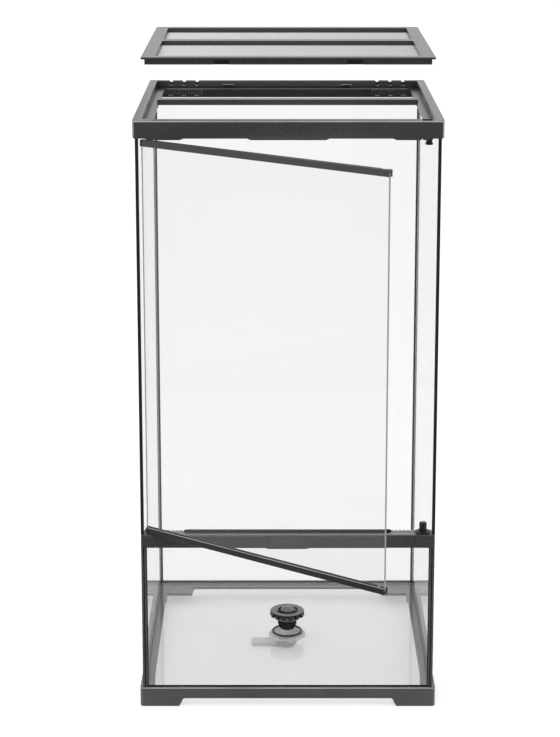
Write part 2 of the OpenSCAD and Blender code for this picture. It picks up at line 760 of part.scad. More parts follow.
module catch_pin_top() color(moulding_dark) translate([catch_x, catch_y, 0]) {
    tip = top_z0 - catch_drop;
    waist_r = catch_r - 1.2;
    rotate_extrude() polygon([[0, tip], [catch_r - 0.6, tip], [catch_r, tip + 0.6], [catch_r, tip + 3],
        [waist_r, tip + 4], [waist_r, tip + 6], [catch_r, tip + 7.5], [catch_r, button_z0],
        [0, button_z0]]);
}

module lock_button() color(moulding_dark) {
    depth = [button_slot_y[0] + button_fit, button_slot_y[1] - button_fit];
    stop_x = button_w / 2 + 1.2;
    block([button_x - button_w / 2, button_x + button_w / 2], depth, [button_z0, button_top]);
    block([button_x - stop_x, button_x + stop_x], depth,
        [rim_under - button_fit - button_stop_t, rim_under - button_fit]);
}

// Coil between the header's floor and the button, swept as rings of points along a helix
module lock_spring() color("silver") translate([catch_x, catch_y, header_floor + spring_wire / 2]) {
    per_turn = 16;
    sides = 8;
    coil_r = catch_r + 0.5 + spring_wire / 2;
    rise = button_z0 - header_floor - spring_wire;
    count = spring_turns * per_turn;
    rings = [for (i = [0:count]) let (a = 360 * i / per_turn, z = rise * i / count)
        [for (j = [0:sides - 1]) let (t = 360 * j / sides, r = coil_r + spring_wire / 2 * cos(t))
            [r * cos(a), r * sin(a), z + spring_wire / 2 * sin(t)]]];
    points = [for (ring = rings) for (p = ring) p];
    walls = [for (i = [0:count - 1]) for (j = [0:sides - 1]) let (k = (j + 1) % sides)
        [i * sides + j, i * sides + k, (i + 1) * sides + k, (i + 1) * sides + j]];
    first = [[for (j = [sides - 1:-1:0]) j]];
    last = [[for (j = [0:sides - 1]) count * sides + j]];
    polyhedron(points, concat(walls, first, last));
}

module cable_gate(index) color(moulding_mid) translate([inlet_places[index - 1], 0, 0]) {
    ribs = 5;
    rib_w = 1.4;
    face = [gate_face_y - gate_t, gate_face_y];
    block([-gate_w / 2, gate_w / 2], face, [gate_top - gate_h, gate_top]);
    for (i = [0:ribs - 1]) translate([(i - (ribs - 1) / 2) * gate_w / ribs, 0, 0])
        block([-rib_w / 2, rib_w / 2], [face[0] - 0.9, face[0]], [gate_top - gate_h + 1, gate_top - 1]);
    block([-gate_slot_w / 2 + gate_clear, gate_slot_w / 2 - gate_clear],
        [gate_face_y, ledge_back_y + channel_wall_t + 2 * gate_clear], [stem_top - stem_h, stem_top]);
    block([-catch_plate_w / 2, catch_plate_w / 2],
        [ledge_back_y + channel_wall_t + gate_clear, ledge_back_y + channel_wall_t + gate_clear + 1.5],
        [stem_top - stem_h - 0.6, stem_top + 0.1]);
}

// Carries the closed door to the angle at which it stands
module swung() {
    translate([hinge_x, hinge_y, 0]) rotate([0, 0, -door_open]) translate([-hinge_x, -hinge_y, 0])
        children();
}

module door_pane() color(glass_tint) swung()
    block([door_left + door_pane_end, door_right - door_pane_end],
        [door_pane_y, door_pane_y + door_pane_t],
        [door_z0 + door_rail_h - pane_seat, door_z1 - door_rail_h + pane_seat]);

// A stretch of door rail with the pane's groove on top; a cover rail is the same turned over
module door_bar(x0, x1) difference() {
    edge = 0.8;
    translate([x0, 0, 0]) rotate([90, 0, 90]) linear_extrude(x1 - x0)
        polygon([[door_y, edge], [door_y + edge, 0], [door_y + door_rail_t, 0],
            [door_y + door_rail_t, door_rail_h], [door_y + edge, door_rail_h],
            [door_y, door_rail_h - edge]]);
    block([x0 - cut, x1 + cut], [door_pane_y - 0.1, door_pane_y + door_pane_t + 0.1],
        [door_rail_h - pane_seat - 0.1, door_rail_h + cut]);
}

module hinge_cap() difference() {
    door_bar(door_left, cap_left);
    translate([hinge_x, hinge_y, -cut])
        cylinder(r = hinge_bore_r, h = cut + hinge_reach + pin_end_gap);
}

// The cap's hollow for the catch pin, and the wider one for the flange under the fixed pin
module catch_cap(flange) difference() {
    door_bar(cap_right, door_right);
    translate([catch_x, catch_y, -cut]) cylinder(r = catch_r + catch_play, h = door_rail_h + 2 * cut);
    if (flange) translate([catch_x, catch_y, -cut])
        cylinder(d = flange_d + 2 * catch_play, h = cut + flange_t - door_gap + 0.5);
    block([door_right - 2, door_right + cut], [door_y + 3, door_y + door_rail_t - 2.5],
        [2.4, door_rail_h - pane_seat - 0.8]);
}

module at_bottom() swung() translate([0, 0, door_z0]) children();

module at_top() swung() translate([0, 0, door_z1]) mirror([0, 0, 1]) children();

module door_top_rail() color(moulding) at_top() door_bar(cap_left, cap_right);

module door_bottom_rail() color(moulding) at_bottom() door_bar(cap_left, cap_right);

module door_top_hinge_cap() color(moulding_dark) at_top() hinge_cap();

module door_bottom_hinge_cap() color(moulding_dark) at_bottom() hinge_cap();

module door_top_catch_cap() color(moulding_dark) at_top() catch_cap(false);

module door_bottom_catch_cap() color(moulding_dark) at_bottom() catch_cap(true);

// Screen cover
module lid_flange() {
    block([-lid_x, lid_x], [lid_y0, lid_y1 - lid_corner_r], [flange_z, cab_h]);
    block([lid_corner_r - lid_x, lid_x - lid_corner_r], [lid_y0, lid_y1], [flange_z, cab_h]);
    both_sides() translate([lid_x - lid_corner_r, lid_y1 - lid_corner_r, flange_z])
        cylinder(r = lid_corner_r, h = lid_flange_t);
}

module lid_frame() color(moulding) translate([0, 0, lid_lift]) difference() {
    inner_x = lid_x - lid_rail_w;
    inner_y = [lid_y0 + lid_rail_w, lid_y1 - lid_rail_w];
    union() {
        difference() {
            union() {
                lid_flange();
                block([-lid_skirt_x, lid_skirt_x], [lid_skirt_y0, lid_skirt_y1], [lid_seat, flange_z]);
            }
            block([lid_skirt_t - lid_skirt_x, lid_skirt_x - lid_skirt_t],
                [lid_skirt_y0 + lid_skirt_t, lid_skirt_y1 - lid_skirt_t], [lid_seat - cut, flange_z]);
            block([-inner_x, inner_x], inner_y, [lid_seat, cab_h + cut]);
            for (side = [-1, 1]) translate([side * clip_x, 0, 0]) {
                block([-pocket_w / 2, pocket_w / 2], [lid_skirt_y0 - cut, lid_skirt_y0 + pocket_depth],
                    [lid_seat - cut, pocket_top]);
                block([-pocket_w / 2, pocket_w / 2], [lid_skirt_y1 - pocket_depth, lid_skirt_y1 + cut],
                    [lid_seat - cut, pocket_top]);
            }
        }
        difference() {
            block([-inner_x - lid_wall_t, inner_x + lid_wall_t],
                [inner_y[0] - lid_wall_t, inner_y[1] + lid_wall_t], [mesh_top, flange_z]);
            block([-inner_x, inner_x], inner_y, [lid_seat, cab_h]);
        }
        block([-inner_x, inner_x], [lid_bar_y0, lid_bar_y1], [mesh_top, cab_h]);
    }
    // room for the bar of the top frame
    block([-bar_x - lid_bar_play, bar_x + lid_bar_play],
        [lid_bar_y0 + lid_bar_wall, lid_bar_y1 - lid_bar_wall], [mesh_top - cut, cab_h - lid_bar_t]);
}

// A panel of the mesh from one Y to another, with its openings between two others
module lid_mesh(edge, seen) color(mesh_grey) translate([0, 0, lid_lift + mesh_top - mesh_t])
    linear_extrude(mesh_t) difference() {
        edge_x = lid_skirt_x - lid_skirt_t - mesh_gap;
        pitch_x = 2 * (lid_x - lid_rail_w) / mesh_cols;
        pitch_y = (seen[1] - seen[0]) / mesh_rows;
        translate([-edge_x, edge[0]]) square([2 * edge_x, edge[1] - edge[0]]);
        for (i = [0:mesh_cols - 1]) for (j = [0:mesh_rows - 1])
            translate([(i + 0.5 - mesh_cols / 2) * pitch_x, seen[0] + (j + 0.5) * pitch_y])
                square([pitch_x - mesh_bar, pitch_y - mesh_bar], center = true);
    }

module lid_mesh_front()
    lid_mesh([lid_skirt_y0 + lid_skirt_t + mesh_gap, lid_bar_y0 + lid_bar_wall - 0.1],
        [lid_y0 + lid_rail_w, lid_bar_y0]);

module lid_mesh_rear()
    lid_mesh([lid_bar_y1 - lid_bar_wall + 0.1, lid_skirt_y1 - lid_skirt_t - mesh_gap],
        [lid_bar_y1, lid_y1 - lid_rail_w]);

// Drain
// Rounded half profile of the strainer's cup, from the tube's end down to the tip
function cup_profile(wall) = let (steps = 8, r = tube_d / 2 - cup_in, round_h = cup_h - cup_straight)
    concat([[r - wall, -tube_h]], [for (i = [0:steps]) let (a = 90 * i / steps)
        [tip_r - wall + (r - tip_r) * cos(a), -tube_h - cup_straight - round_h * sin(a)]]);

module strainer_body() color(moulding_dark) translate([0, drain_y, strainer_flange_z]) {
    flange_r = strainer_d / 2;
    tube_r = tube_d / 2;
    inside = cup_profile(tube_wall);
    outside = cup_profile(0);
    difference() {
        rotate_extrude() polygon(concat([[tube_r - tube_wall, 1.5], [tube_r - tube_wall, -tube_h]],
            inside, [for (i = [len(outside) - 1:-1:0]) outside[i]],
            [[tube_r, -tube_h], [tube_r, 0], [flange_r, 0], [flange_r, strainer_flange_t - 1],
                [flange_r - 1, strainer_flange_t], [tube_r + 0.7, strainer_flange_t], [tube_r + 0.7, 1.5]]));
        for (i = [0:windows - 1]) rotate([0, 0, (i + 0.5) * 360 / windows - 90])
            block([tube_r - tube_wall - cut, tube_r + cut], [-window_w / 2, window_w / 2],
                [-window_h - window_drop, -window_drop]);
    }
    intersection() {
        translate([0, 0, -tooth_h]) difference() {
            cylinder(r = flange_r, h = tooth_h);
            translate([0, 0, -cut]) cylinder(r = flange_r - 5.5, h = tooth_h + 2 * cut);
        }
        for (i = [0:teeth - 1]) rotate([0, 0, i * 360 / teeth])
            translate([flange_r - 6, -flange_r * 180 / teeth / 57.3 / 2, -tooth_h - cut])
                cube([8, flange_r * 180 / teeth / 57.3, tooth_h + cut + 0.5]);
    }
}

module strainer_grate() color(moulding_mid) translate([0, drain_y, strainer_flange_z + 1.5]) {
    grate_r = tube_d / 2 + 0.5;
    slots = 16;
    difference() {
        rotate_extrude() polygon([[0, 0], [grate_r, 0], [grate_r, 2], [11, 2], [9, 5.2], [5, 7], [0, 7.6]]);
        for (i = [0:slots - 1]) rotate([0, 0, i * 360 / slots])
            translate([11.8, -1.1, -cut]) cube([3.6, 2.2, 5]);
    }
}

module drain_gasket() color(moulding_dark) translate([0, drain_y, floor_top + ring_t / 2])
    rotate_extrude() translate([(ring_d - ring_t) / 2, 0]) circle(d = ring_t, $fn = 24);

module drain_nut() color(moulding_mid) translate([0, drain_y, base_ledge_z - nut_t]) difference() {
    cylinder(d = nut_d, h = nut_t);
    translate([0, 0, -cut]) cylinder(d = bowl_d + 0.2, h = nut_t + 2 * cut);
    for (i = [0:11]) rotate([0, 0, 30 * i]) translate([nut_d / 2, 0, -cut])
        cylinder(d = 4, h = nut_t + 2 * cut, $fn = 24);
}

// Outline of the bowl's outside, or of its inside when drawn a wall thinner
module bowl_half(wall) {
    r = bowl_d / 2 - wall;
    polygon([[0, bowl_z0 + wall], [r - 6.5, bowl_z0 + wall], [r - 1.5, bowl_z0 + 8], [r, bowl_z0 + 14],
        [r, floor_top + (wall > 0 ? cut : 0)], [0, floor_top + (wall > 0 ? cut : 0)]]);
}

module drain_bowl() color(moulding_mid) translate([0, drain_y, 0]) difference() {
    union() {
        rotate_extrude() bowl_half(0);
        translate([-socket_x, 0, tail_z]) rotate([0, 90, 0]) cylinder(d = socket_d, h = socket_x);
    }
    rotate_extrude() bowl_half(bowl_wall);
    translate([-socket_x - cut, 0, tail_z]) rotate([0, 90, 0])
        cylinder(d = spigot_d + 0.1, h = socket_x - spigot_x + cut + 0.3);
    translate([-socket_x, 0, tail_z]) rotate([0, 90, 0]) cylinder(d = tail_bore, h = socket_x);
}

module hose_tail() color(moulding_mid) translate([0, drain_y, tail_z]) rotate([0, -90, 0]) rotate_extrude()
    polygon(concat([[tail_bore / 2, spigot_x], [spigot_d / 2, spigot_x], [spigot_d / 2, socket_x],
        [tail_d / 2 - barb_h, socket_x]],
        [for (i = [barbs - 1:-1:0]) for (p = [[0, barb_l], [barb_h, 0]])
            [tail_d / 2 - p[0], tail_reach - i * barb_l - p[1]]],
        [[tail_bore / 2, tail_reach]]));

base_frame();
floor_pane();
back_pane();
left_pane();
right_pane();
front_pane();
back_corner_seals();
front_corner_seals();
upper_edge_strips();
lower_corner_strips();
mid_rail();
rail_hinge_block();
rail_catch_block();
vent_strip();
rail_plate();
top_frame();
top_cross_bar();
lid_clips();
hinge_pin_top();
hinge_pin_bottom();
catch_pin_bottom();
catch_pin_top();
lock_button();
lock_spring();
cable_gate(1);  // cable_gate_1
cable_gate(2);  // cable_gate_2
cable_gate(3);  // cable_gate_3
cable_gate(4);  // cable_gate_4
cable_gate(5);  // cable_gate_5
cable_gate(6);  // cable_gate_6
door_pane();
door_top_rail();
door_bottom_rail();
door_top_hinge_cap();
door_bottom_hinge_cap();
door_top_catch_cap();
door_bottom_catch_cap();
lid_frame();
lid_mesh_front();
lid_mesh_rear();
strainer_body();
strainer_grate();
drain_gasket();
drain_nut();
drain_bowl();
hose_tail();
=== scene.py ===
"""Terrarium cabinet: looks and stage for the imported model.

Laid out as an add-on and run as a script. Each operator dresses one group of parts,
and main() calls them in order.
"""

import json
import math

import bmesh
import bpy
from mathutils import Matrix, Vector

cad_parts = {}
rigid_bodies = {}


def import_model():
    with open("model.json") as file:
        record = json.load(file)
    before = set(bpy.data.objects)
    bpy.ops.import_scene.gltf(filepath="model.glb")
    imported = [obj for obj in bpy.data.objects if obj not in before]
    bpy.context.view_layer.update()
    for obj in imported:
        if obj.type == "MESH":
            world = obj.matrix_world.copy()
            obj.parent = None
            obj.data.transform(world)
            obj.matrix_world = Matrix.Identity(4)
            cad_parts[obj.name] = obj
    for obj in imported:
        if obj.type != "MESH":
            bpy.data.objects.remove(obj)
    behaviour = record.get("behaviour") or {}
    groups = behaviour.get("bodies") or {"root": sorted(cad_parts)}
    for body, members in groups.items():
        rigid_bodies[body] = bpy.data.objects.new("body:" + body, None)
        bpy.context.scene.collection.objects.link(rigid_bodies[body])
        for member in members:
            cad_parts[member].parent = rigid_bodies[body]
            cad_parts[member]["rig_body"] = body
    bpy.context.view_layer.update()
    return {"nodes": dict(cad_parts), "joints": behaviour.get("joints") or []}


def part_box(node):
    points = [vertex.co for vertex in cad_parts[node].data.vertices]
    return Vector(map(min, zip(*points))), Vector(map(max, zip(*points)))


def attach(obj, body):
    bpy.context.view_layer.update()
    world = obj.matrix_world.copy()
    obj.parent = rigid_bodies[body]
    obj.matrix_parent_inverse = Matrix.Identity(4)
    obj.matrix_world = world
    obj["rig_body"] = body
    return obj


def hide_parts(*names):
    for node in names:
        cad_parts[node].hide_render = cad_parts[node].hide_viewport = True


bl_info = {
    "name": "Terrarium Cabinet",
    "version": (1, 0, 0),
    "blender": (4, 5, 0),
    "location": "3D View > Sidebar > Terrarium",
    "description": "Dresses the terrarium cabinet: mouldings, glass, wire screen, drain and stage",
    "category": "Object",
}

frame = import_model()
NODES = frame["nodes"]

SMOOTH_ANGLE = math.radians(28)
DOOR_TOP = ("door_top_rail", "door_top_hinge_cap", "door_top_catch_cap")
DOOR_BOTTOM = ("door_bottom_rail", "door_bottom_hinge_cap", "door_bottom_catch_cap")
GATES = tuple(f"cable_gate_{i}" for i in range(1, 7))
PANES = ("floor_pane", "back_pane", "left_pane", "right_pane", "front_pane", "door_pane")
PANE_GLASS = {"floor_pane": "floor_glass", "door_pane": "door_glass"}
PANE_EDGE = {"back_pane": "silicone"}
GLASS_IOR = {"glass": 1.22, "door_glass": 1.36, "floor_glass": 1.2}
DOOR = next(j for j in frame["joints"] if j["name"] == "door_swing")

# Lengths below are in metres.
TOUCH = 0.0001  # closer than this counts as on the same plane
LONG = 0.05  # an edge longer than this can be softened
AIR = 0.00015  # film of air under the floor pane
OUTER_BAND = 0.005  # width of the band in which the frames' outer edges are softened and given the painted highlight
LEDGE_LINE = 0.001  # height of the band that holds the edge over the cable gates, which takes the painted highlight
INLET_FLOOR = (0.0062, 0.0081)  # how far below the rim the rounded floors of the cable inlets lie; these floors are painted near-white as painted light
INLET_REACH = (0.004, 0.0124)  # and how far in from the back
STRIP_FACE = 0.0003  # depth of the corner strips' front faces
STRIP_GROOVE = 0.006  # the groove in the corner strips lies within this of their outer side
RAIL_LIP = 0.0006  # height of the rounded lip on the door's bottom rail, which is painted as a highlight
LIP_BACK = -0.0036  # the lip lies in front of this door depth
FLAT_FRONT = -0.0026  # the flat top behind the lip starts at this door depth; it is painted near-black as the groove's shade
CLIP_IN = 0.009  # half the width of a lid clip
POCKET_HALF = 0.0125  # half the width of the pockets in the cover's skirt, whose inner faces take painted shade
POCKET_TOP = 0.0075  # their height
POCKET_DEPTH = (0.0068, 0.009)  # how far in from the side their back walls lie
FLANGE_TOP = 0.0006  # height of the rounded top edge of the strainer's flange
FLANGE_RIM = 0.0005  # width of its outer face
FLANGE_T = 0.0031  # its thickness
RIB_OUT = (0.0169, 0.0174)  # distance of the ribs' outer faces from the strainer's axis
RIB_FOOT = 0.016  # how far below the flange's top the ribs end
CAP_R = 0.0108  # radius of the grate's cap

# The camera, the floor and the lamps; the lens and the sensor are in millimetres.
LENS = 101.497
SENSOR = 36
SHIFT = (0.00228, -0.13)
EYE = (-0.0146, -3.2255, 1.3738)
EYE_DOWN = math.radians(12.846)
FLOOR_HALF = 30
FLOOR_Z = -0.0004
KEY_AT = (-1.3, -2.2, 3.2)
KEY_SIZE = 2.2
KEY_AIM = (0, 0, 0.55)
FILL_AT = (2.6, -2.0, 1.6)
FILL_SIZE = 1.8
FILL_AIM = (0, 0, 0.5)


# ---------------------------------------------------------------- settings


def colour(name, description, default):
    return bpy.props.FloatVectorProperty(
        name=name, description=description, default=default, subtype="COLOR", size=3, min=0, max=1
    )


def length(name, description, default, low, high):
    return bpy.props.FloatProperty(
        name=name, description=description, default=default, min=low, max=high, unit="LENGTH", precision=5
    )


def share(name, description, default, high=1.0):
    return bpy.props.FloatProperty(name=name, description=description, default=default, min=0, max=high)


def power(name, description, default):
    return bpy.props.FloatProperty(name=name, description=description, default=default, min=0, unit="POWER")


class CabinetFinish(bpy.types.PropertyGroup):
    """Colours and small sizes of the cabinet's finish."""

    base: colour("Base frame", "Colour of the base frame", (0.078, 0.078, 0.079))
    moulding: colour("Mouldings", "Colour of the top frame, cover and door's top rail", (0.038, 0.038, 0.039))
    rail: colour("Rail", "Colour of the rail and its end blocks", (0.042, 0.042, 0.043))
    # Painted shade: a darker copy of the moulding colour for the door's bottom rail.
    door_foot_painted_shade: colour("Door foot", "Colour of the door's bottom rail", (0.026, 0.026, 0.027))
    # Painted highlight: pale colour on rounded edges, standing for the light they catch.
    painted_highlight: colour("Painted edge highlights", "Colour painted on the rounded edges as a highlight", (0.38, 0.38, 0.38))
    # Painted light: a lighter copy of the base moulding for the ledges under the glass and the rail's top.
    ledge: colour("Ledges", "Colour of the base frame's ledges under the glass", (0.18, 0.18, 0.18))
    plate: colour("Rail plate", "Colour of the plate on the rail", (0.052, 0.052, 0.053))
    strip: colour("Corner strips", "Colour of the strips in the lower corners", (0.075, 0.076, 0.078))
    # Trim is also painted as shade in the cover's pockets, on the cover's top over the cross bar and on the
    # door's bottom rail behind its lip.
    trim: colour("Trim", "Colour of the pins, upper strips, clips and gates", (0.013, 0.013, 0.013))
    strainer: colour("Strainer", "Colour of the strainer's flange", (0.110, 0.110, 0.110))
    # This colour also serves the painted shade under the cable gates and on the lid clips.
    vent: colour("Vent strip", "Colour of the perforated strip", (0.004, 0.004, 0.004))
    grey: colour("Grate", "Colour of the strainer's grate", (0.120, 0.120, 0.122))
    # Also painted on the inlet floors of the top frame as painted light.
    pale: colour("Pale parts", "Colour of the nut, the bowl and the hose tail", (0.93, 0.93, 0.94))
    glass: colour("Glass", "Colour that one upright pane lends to what is behind it", (0.940, 0.944, 0.942))
    floor_glass: colour("Floor glass", "Colour that the floor pane lends to the floor", (0.885, 0.887, 0.886))
    glass_edge: colour("Glass edge", "Colour of the ground edges of the panes", (0.30, 0.33, 0.32))
    silicone: colour("Silicone", "Colour of the beads in the corners", (0.020, 0.020, 0.021))
    wire: colour("Screen wire", "Colour of the screen's steel wire", (0.86, 0.86, 0.86))
    steel: colour("Pins", "Colour of the hinge pins and the spring", (0.55, 0.55, 0.56))
    gloss: share("Moulding roughness", "Roughness of the moulded plastic", 0.28)
    grain: length("Grain", "Size of the moulded grain", 0.0008, 0.0002, 0.005)
    edge: length("Edge radius", "Rounding of the mouldings' outer edges", 0.0005, 0.0001, 0.002)
    soft_edge: length("Soft edge radius", "Rounding of the long front edges", 0.0012, 0.0002, 0.002)
    small_edge: length("Small edge radius", "Rounding of the small parts' edges", 0.0002, 0.00005, 0.001)
    ground_edge: length("Ground edge", "Width of the chamfer on the panes' edges", 0.0004, 0.0001, 0.001)
    wire_d: length("Wire diameter", "Diameter of the screen's wire", 0.00032, 0.0001, 0.001)
    wire_pitch: length("Wire pitch", "Distance between the screen's wires", 0.0016, 0.0008, 0.006)


class StudioLight(bpy.types.PropertyGroup):
    """Levels of the stage's light."""

    ambient: share("Ambient", "Level of the soft light from all round", 0.80, 2.0)
    front: share("Front", "Level that gloss sees in front of the cabinet", 0.30, 2.0)
    glow: share("Floor glow", "Light added to the floor for the camera", 0.58, 2.0)
    behind: share("Floor behind glass", "Light added to the floor for what sees it through glass", 0.47, 2.0)
    key: power("Key", "Power of the large lamp over the front", 28)
    fill: power("Fill", "Power of the lamp on the right", 14)
    floor: colour("Floor", "Colour of the floor", (0.62, 0.62, 0.62))


# ---------------------------------------------------------------- materials


def add(tree, kind, links=None, **values):
    """Adds a node, sets its properties or unlinked inputs and links the given inputs."""
    n = tree.nodes.new(kind)
    for key, value in values.items():
        if hasattr(n, key):
            setattr(n, key, value)
        else:
            n.inputs[key.replace("_", " ")].default_value = value
    for key, source in (links or {}).items():
        tree.links.new(source, n.inputs[key])
    return n


def fresh(name):
    """A new node material: (material, tree, shader, output, Object coordinates)."""
    mat = bpy.data.materials.new(name)
    mat.use_nodes = True
    tree = mat.node_tree
    tree.nodes.clear()
    out = add(tree, "ShaderNodeOutputMaterial")
    bsdf = add(tree, "ShaderNodeBsdfPrincipled")
    tree.links.new(bsdf.outputs["BSDF"], out.inputs["Surface"])
    place = add(tree, "ShaderNodeTexCoord").outputs["Object"]
    return mat, tree, bsdf, out, place


def noise(tree, place, scale, detail=2.0, roughness=0.5):
    """A noise of the given scale, from 0 to 1."""
    n = add(tree, "ShaderNodeTexNoise", {"Vector": place})
    n.inputs["Scale"].default_value = scale
    n.inputs["Detail"].default_value = detail
    n.inputs["Roughness"].default_value = roughness
    return n.outputs["Fac"]


def spread(tree, source, low, high, from_low=0.3, from_high=0.7):
    """The source's middle range, stretched to run from low to high."""
    n = add(tree, "ShaderNodeMapRange", {"Value": source})
    n.inputs["From Min"].default_value = from_low
    n.inputs["From Max"].default_value = from_high
    n.inputs["To Min"].default_value = low
    n.inputs["To Max"].default_value = high
    return n.outputs["Result"]


def tones(tree, factor, dark, light):
    """A colour that runs from dark to light with the factor."""
    n = add(tree, "ShaderNodeMix", data_type="RGBA")
    for socket in n.inputs:
        if socket.identifier == "A_Color":
            socket.default_value = (*dark, 1)
        if socket.identifier == "B_Color":
            socket.default_value = (*light, 1)
    tree.links.new(factor, n.inputs[0])
    return n.outputs[2]


def shaded(rgb, factor):
    """The colour made darker or lighter, never past 1."""
    return tuple(min(1.0, c * factor) for c in rgb)


def plastic(name, rgb, roughness, grain, bump=0.06, cloud=0.10, shine=0.5, ior=1.5):
    """Moulded plastic: spark-eroded grain, faint flow clouds and slightly uneven gloss."""
    mat, tree, bsdf, _, place = fresh(name)
    clouds = noise(tree, place, 9.0, 3.0, 0.55)
    fine = noise(tree, place, 1.0 / grain, 2.0, 0.6)
    tree.links.new(tones(tree, spread(tree, clouds, 0, 1), shaded(rgb, 1 - cloud), shaded(rgb, 1 + cloud)),
                   bsdf.inputs["Base Color"])
    tree.links.new(spread(tree, fine, roughness - 0.05, roughness + 0.06), bsdf.inputs["Roughness"])
    rough = add(tree, "ShaderNodeBump", {"Height": fine})
    rough.inputs["Strength"].default_value = bump
    rough.inputs["Distance"].default_value = grain * 0.12
    tree.links.new(rough.outputs["Normal"], bsdf.inputs["Normal"])
    bsdf.inputs["IOR"].default_value = ior
    bsdf.inputs["Specular IOR Level"].default_value = shine
    return mat


def glass(name, rgb, ior):
    """Clear float glass: a faint tint and a barely uneven gloss; lamps shine through it."""
    mat, tree, bsdf, out, place = fresh(name)
    clouds = noise(tree, place, 5.0, 2.0)
    tree.links.new(tones(tree, clouds, shaded(rgb, 0.994), shaded(rgb, 1.006)), bsdf.inputs["Base Color"])
    bsdf.inputs["Roughness"].default_value = 0.0
    bsdf.inputs["IOR"].default_value = ior
    bsdf.inputs["Transmission Weight"].default_value = 1.0
    through = add(tree, "ShaderNodeBsdfTransparent")
    through.inputs["Color"].default_value = (*shaded(rgb, 0.98), 1)
    path = add(tree, "ShaderNodeLightPath")
    mixed = add(tree, "ShaderNodeMixShader")
    tree.links.new(path.outputs["Is Shadow Ray"], mixed.inputs[0])
    tree.links.new(bsdf.outputs["BSDF"], mixed.inputs[1])
    tree.links.new(through.outputs["BSDF"], mixed.inputs[2])
    tree.links.new(mixed.outputs["Shader"], out.inputs["Surface"])
    return mat


def ground_glass(name, rgb):
    """The ground edge of a pane: matt, grey-green and slightly streaked along its length."""
    mat, tree, bsdf, _, place = fresh(name)
    streaks = noise(tree, place, 260.0, 3.0, 0.6)
    tree.links.new(tones(tree, spread(tree, streaks, 0, 1), shaded(rgb, 0.86), shaded(rgb, 1.12)),
                   bsdf.inputs["Base Color"])
    tree.links.new(spread(tree, streaks, 0.32, 0.52), bsdf.inputs["Roughness"])
    bsdf.inputs["IOR"].default_value = 1.5
    return mat


def rubber(name, rgb, roughness):
    """Silicone or soft rubber: smooth, with slow waves in its skin."""
    mat, tree, bsdf, _, place = fresh(name)
    waves = noise(tree, place, 60.0, 2.0)
    fine = noise(tree, place, 900.0, 2.0)
    tree.links.new(tones(tree, waves, shaded(rgb, 0.85), shaded(rgb, 1.15)), bsdf.inputs["Base Color"])
    tree.links.new(spread(tree, fine, roughness - 0.05, roughness + 0.05), bsdf.inputs["Roughness"])
    bump = add(tree, "ShaderNodeBump", {"Height": waves})
    bump.inputs["Strength"].default_value = 0.3
    bump.inputs["Distance"].default_value = 0.0003
    tree.links.new(bump.outputs["Normal"], bsdf.inputs["Normal"])
    bsdf.inputs["IOR"].default_value = 1.42
    return mat


def drawn_steel(name, rgb, roughness):
    """Drawn steel: fine marks along the wire and a little unevenness in its gloss."""
    mat, tree, bsdf, _, place = fresh(name)
    fine = noise(tree, place, 1500.0, 2.0)
    tree.links.new(tones(tree, spread(tree, fine, 0, 1), shaded(rgb, 0.9), shaded(rgb, 1.08)),
                   bsdf.inputs["Base Color"])
    tree.links.new(spread(tree, fine, roughness - 0.06, roughness + 0.06), bsdf.inputs["Roughness"])
    bsdf.inputs["Metallic"].default_value = 1.0
    return mat


def woven_steel(name, rgb, pitch):
    """Screen wire: painted shade and highlight in a checker, darker where each wire dips under the one that
    crosses it.
    """
    mat, tree, bsdf, _, place = fresh(name)
    weave_shade = add(tree, "ShaderNodeTexChecker", {"Vector": place})
    weave_shade.inputs["Scale"].default_value = 1.0 / pitch
    weave_shade.inputs["Color1"].default_value = (*shaded(rgb, 0.90), 1)
    weave_shade.inputs["Color2"].default_value = (*shaded(rgb, 1.08), 1)
    fine = noise(tree, place, 900.0, 2.0)
    tree.links.new(weave_shade.outputs["Color"], bsdf.inputs["Base Color"])
    tree.links.new(spread(tree, fine, 0.30, 0.46), bsdf.inputs["Roughness"])
    bsdf.inputs["Metallic"].default_value = 1.0
    return mat


MATERIALS = {}


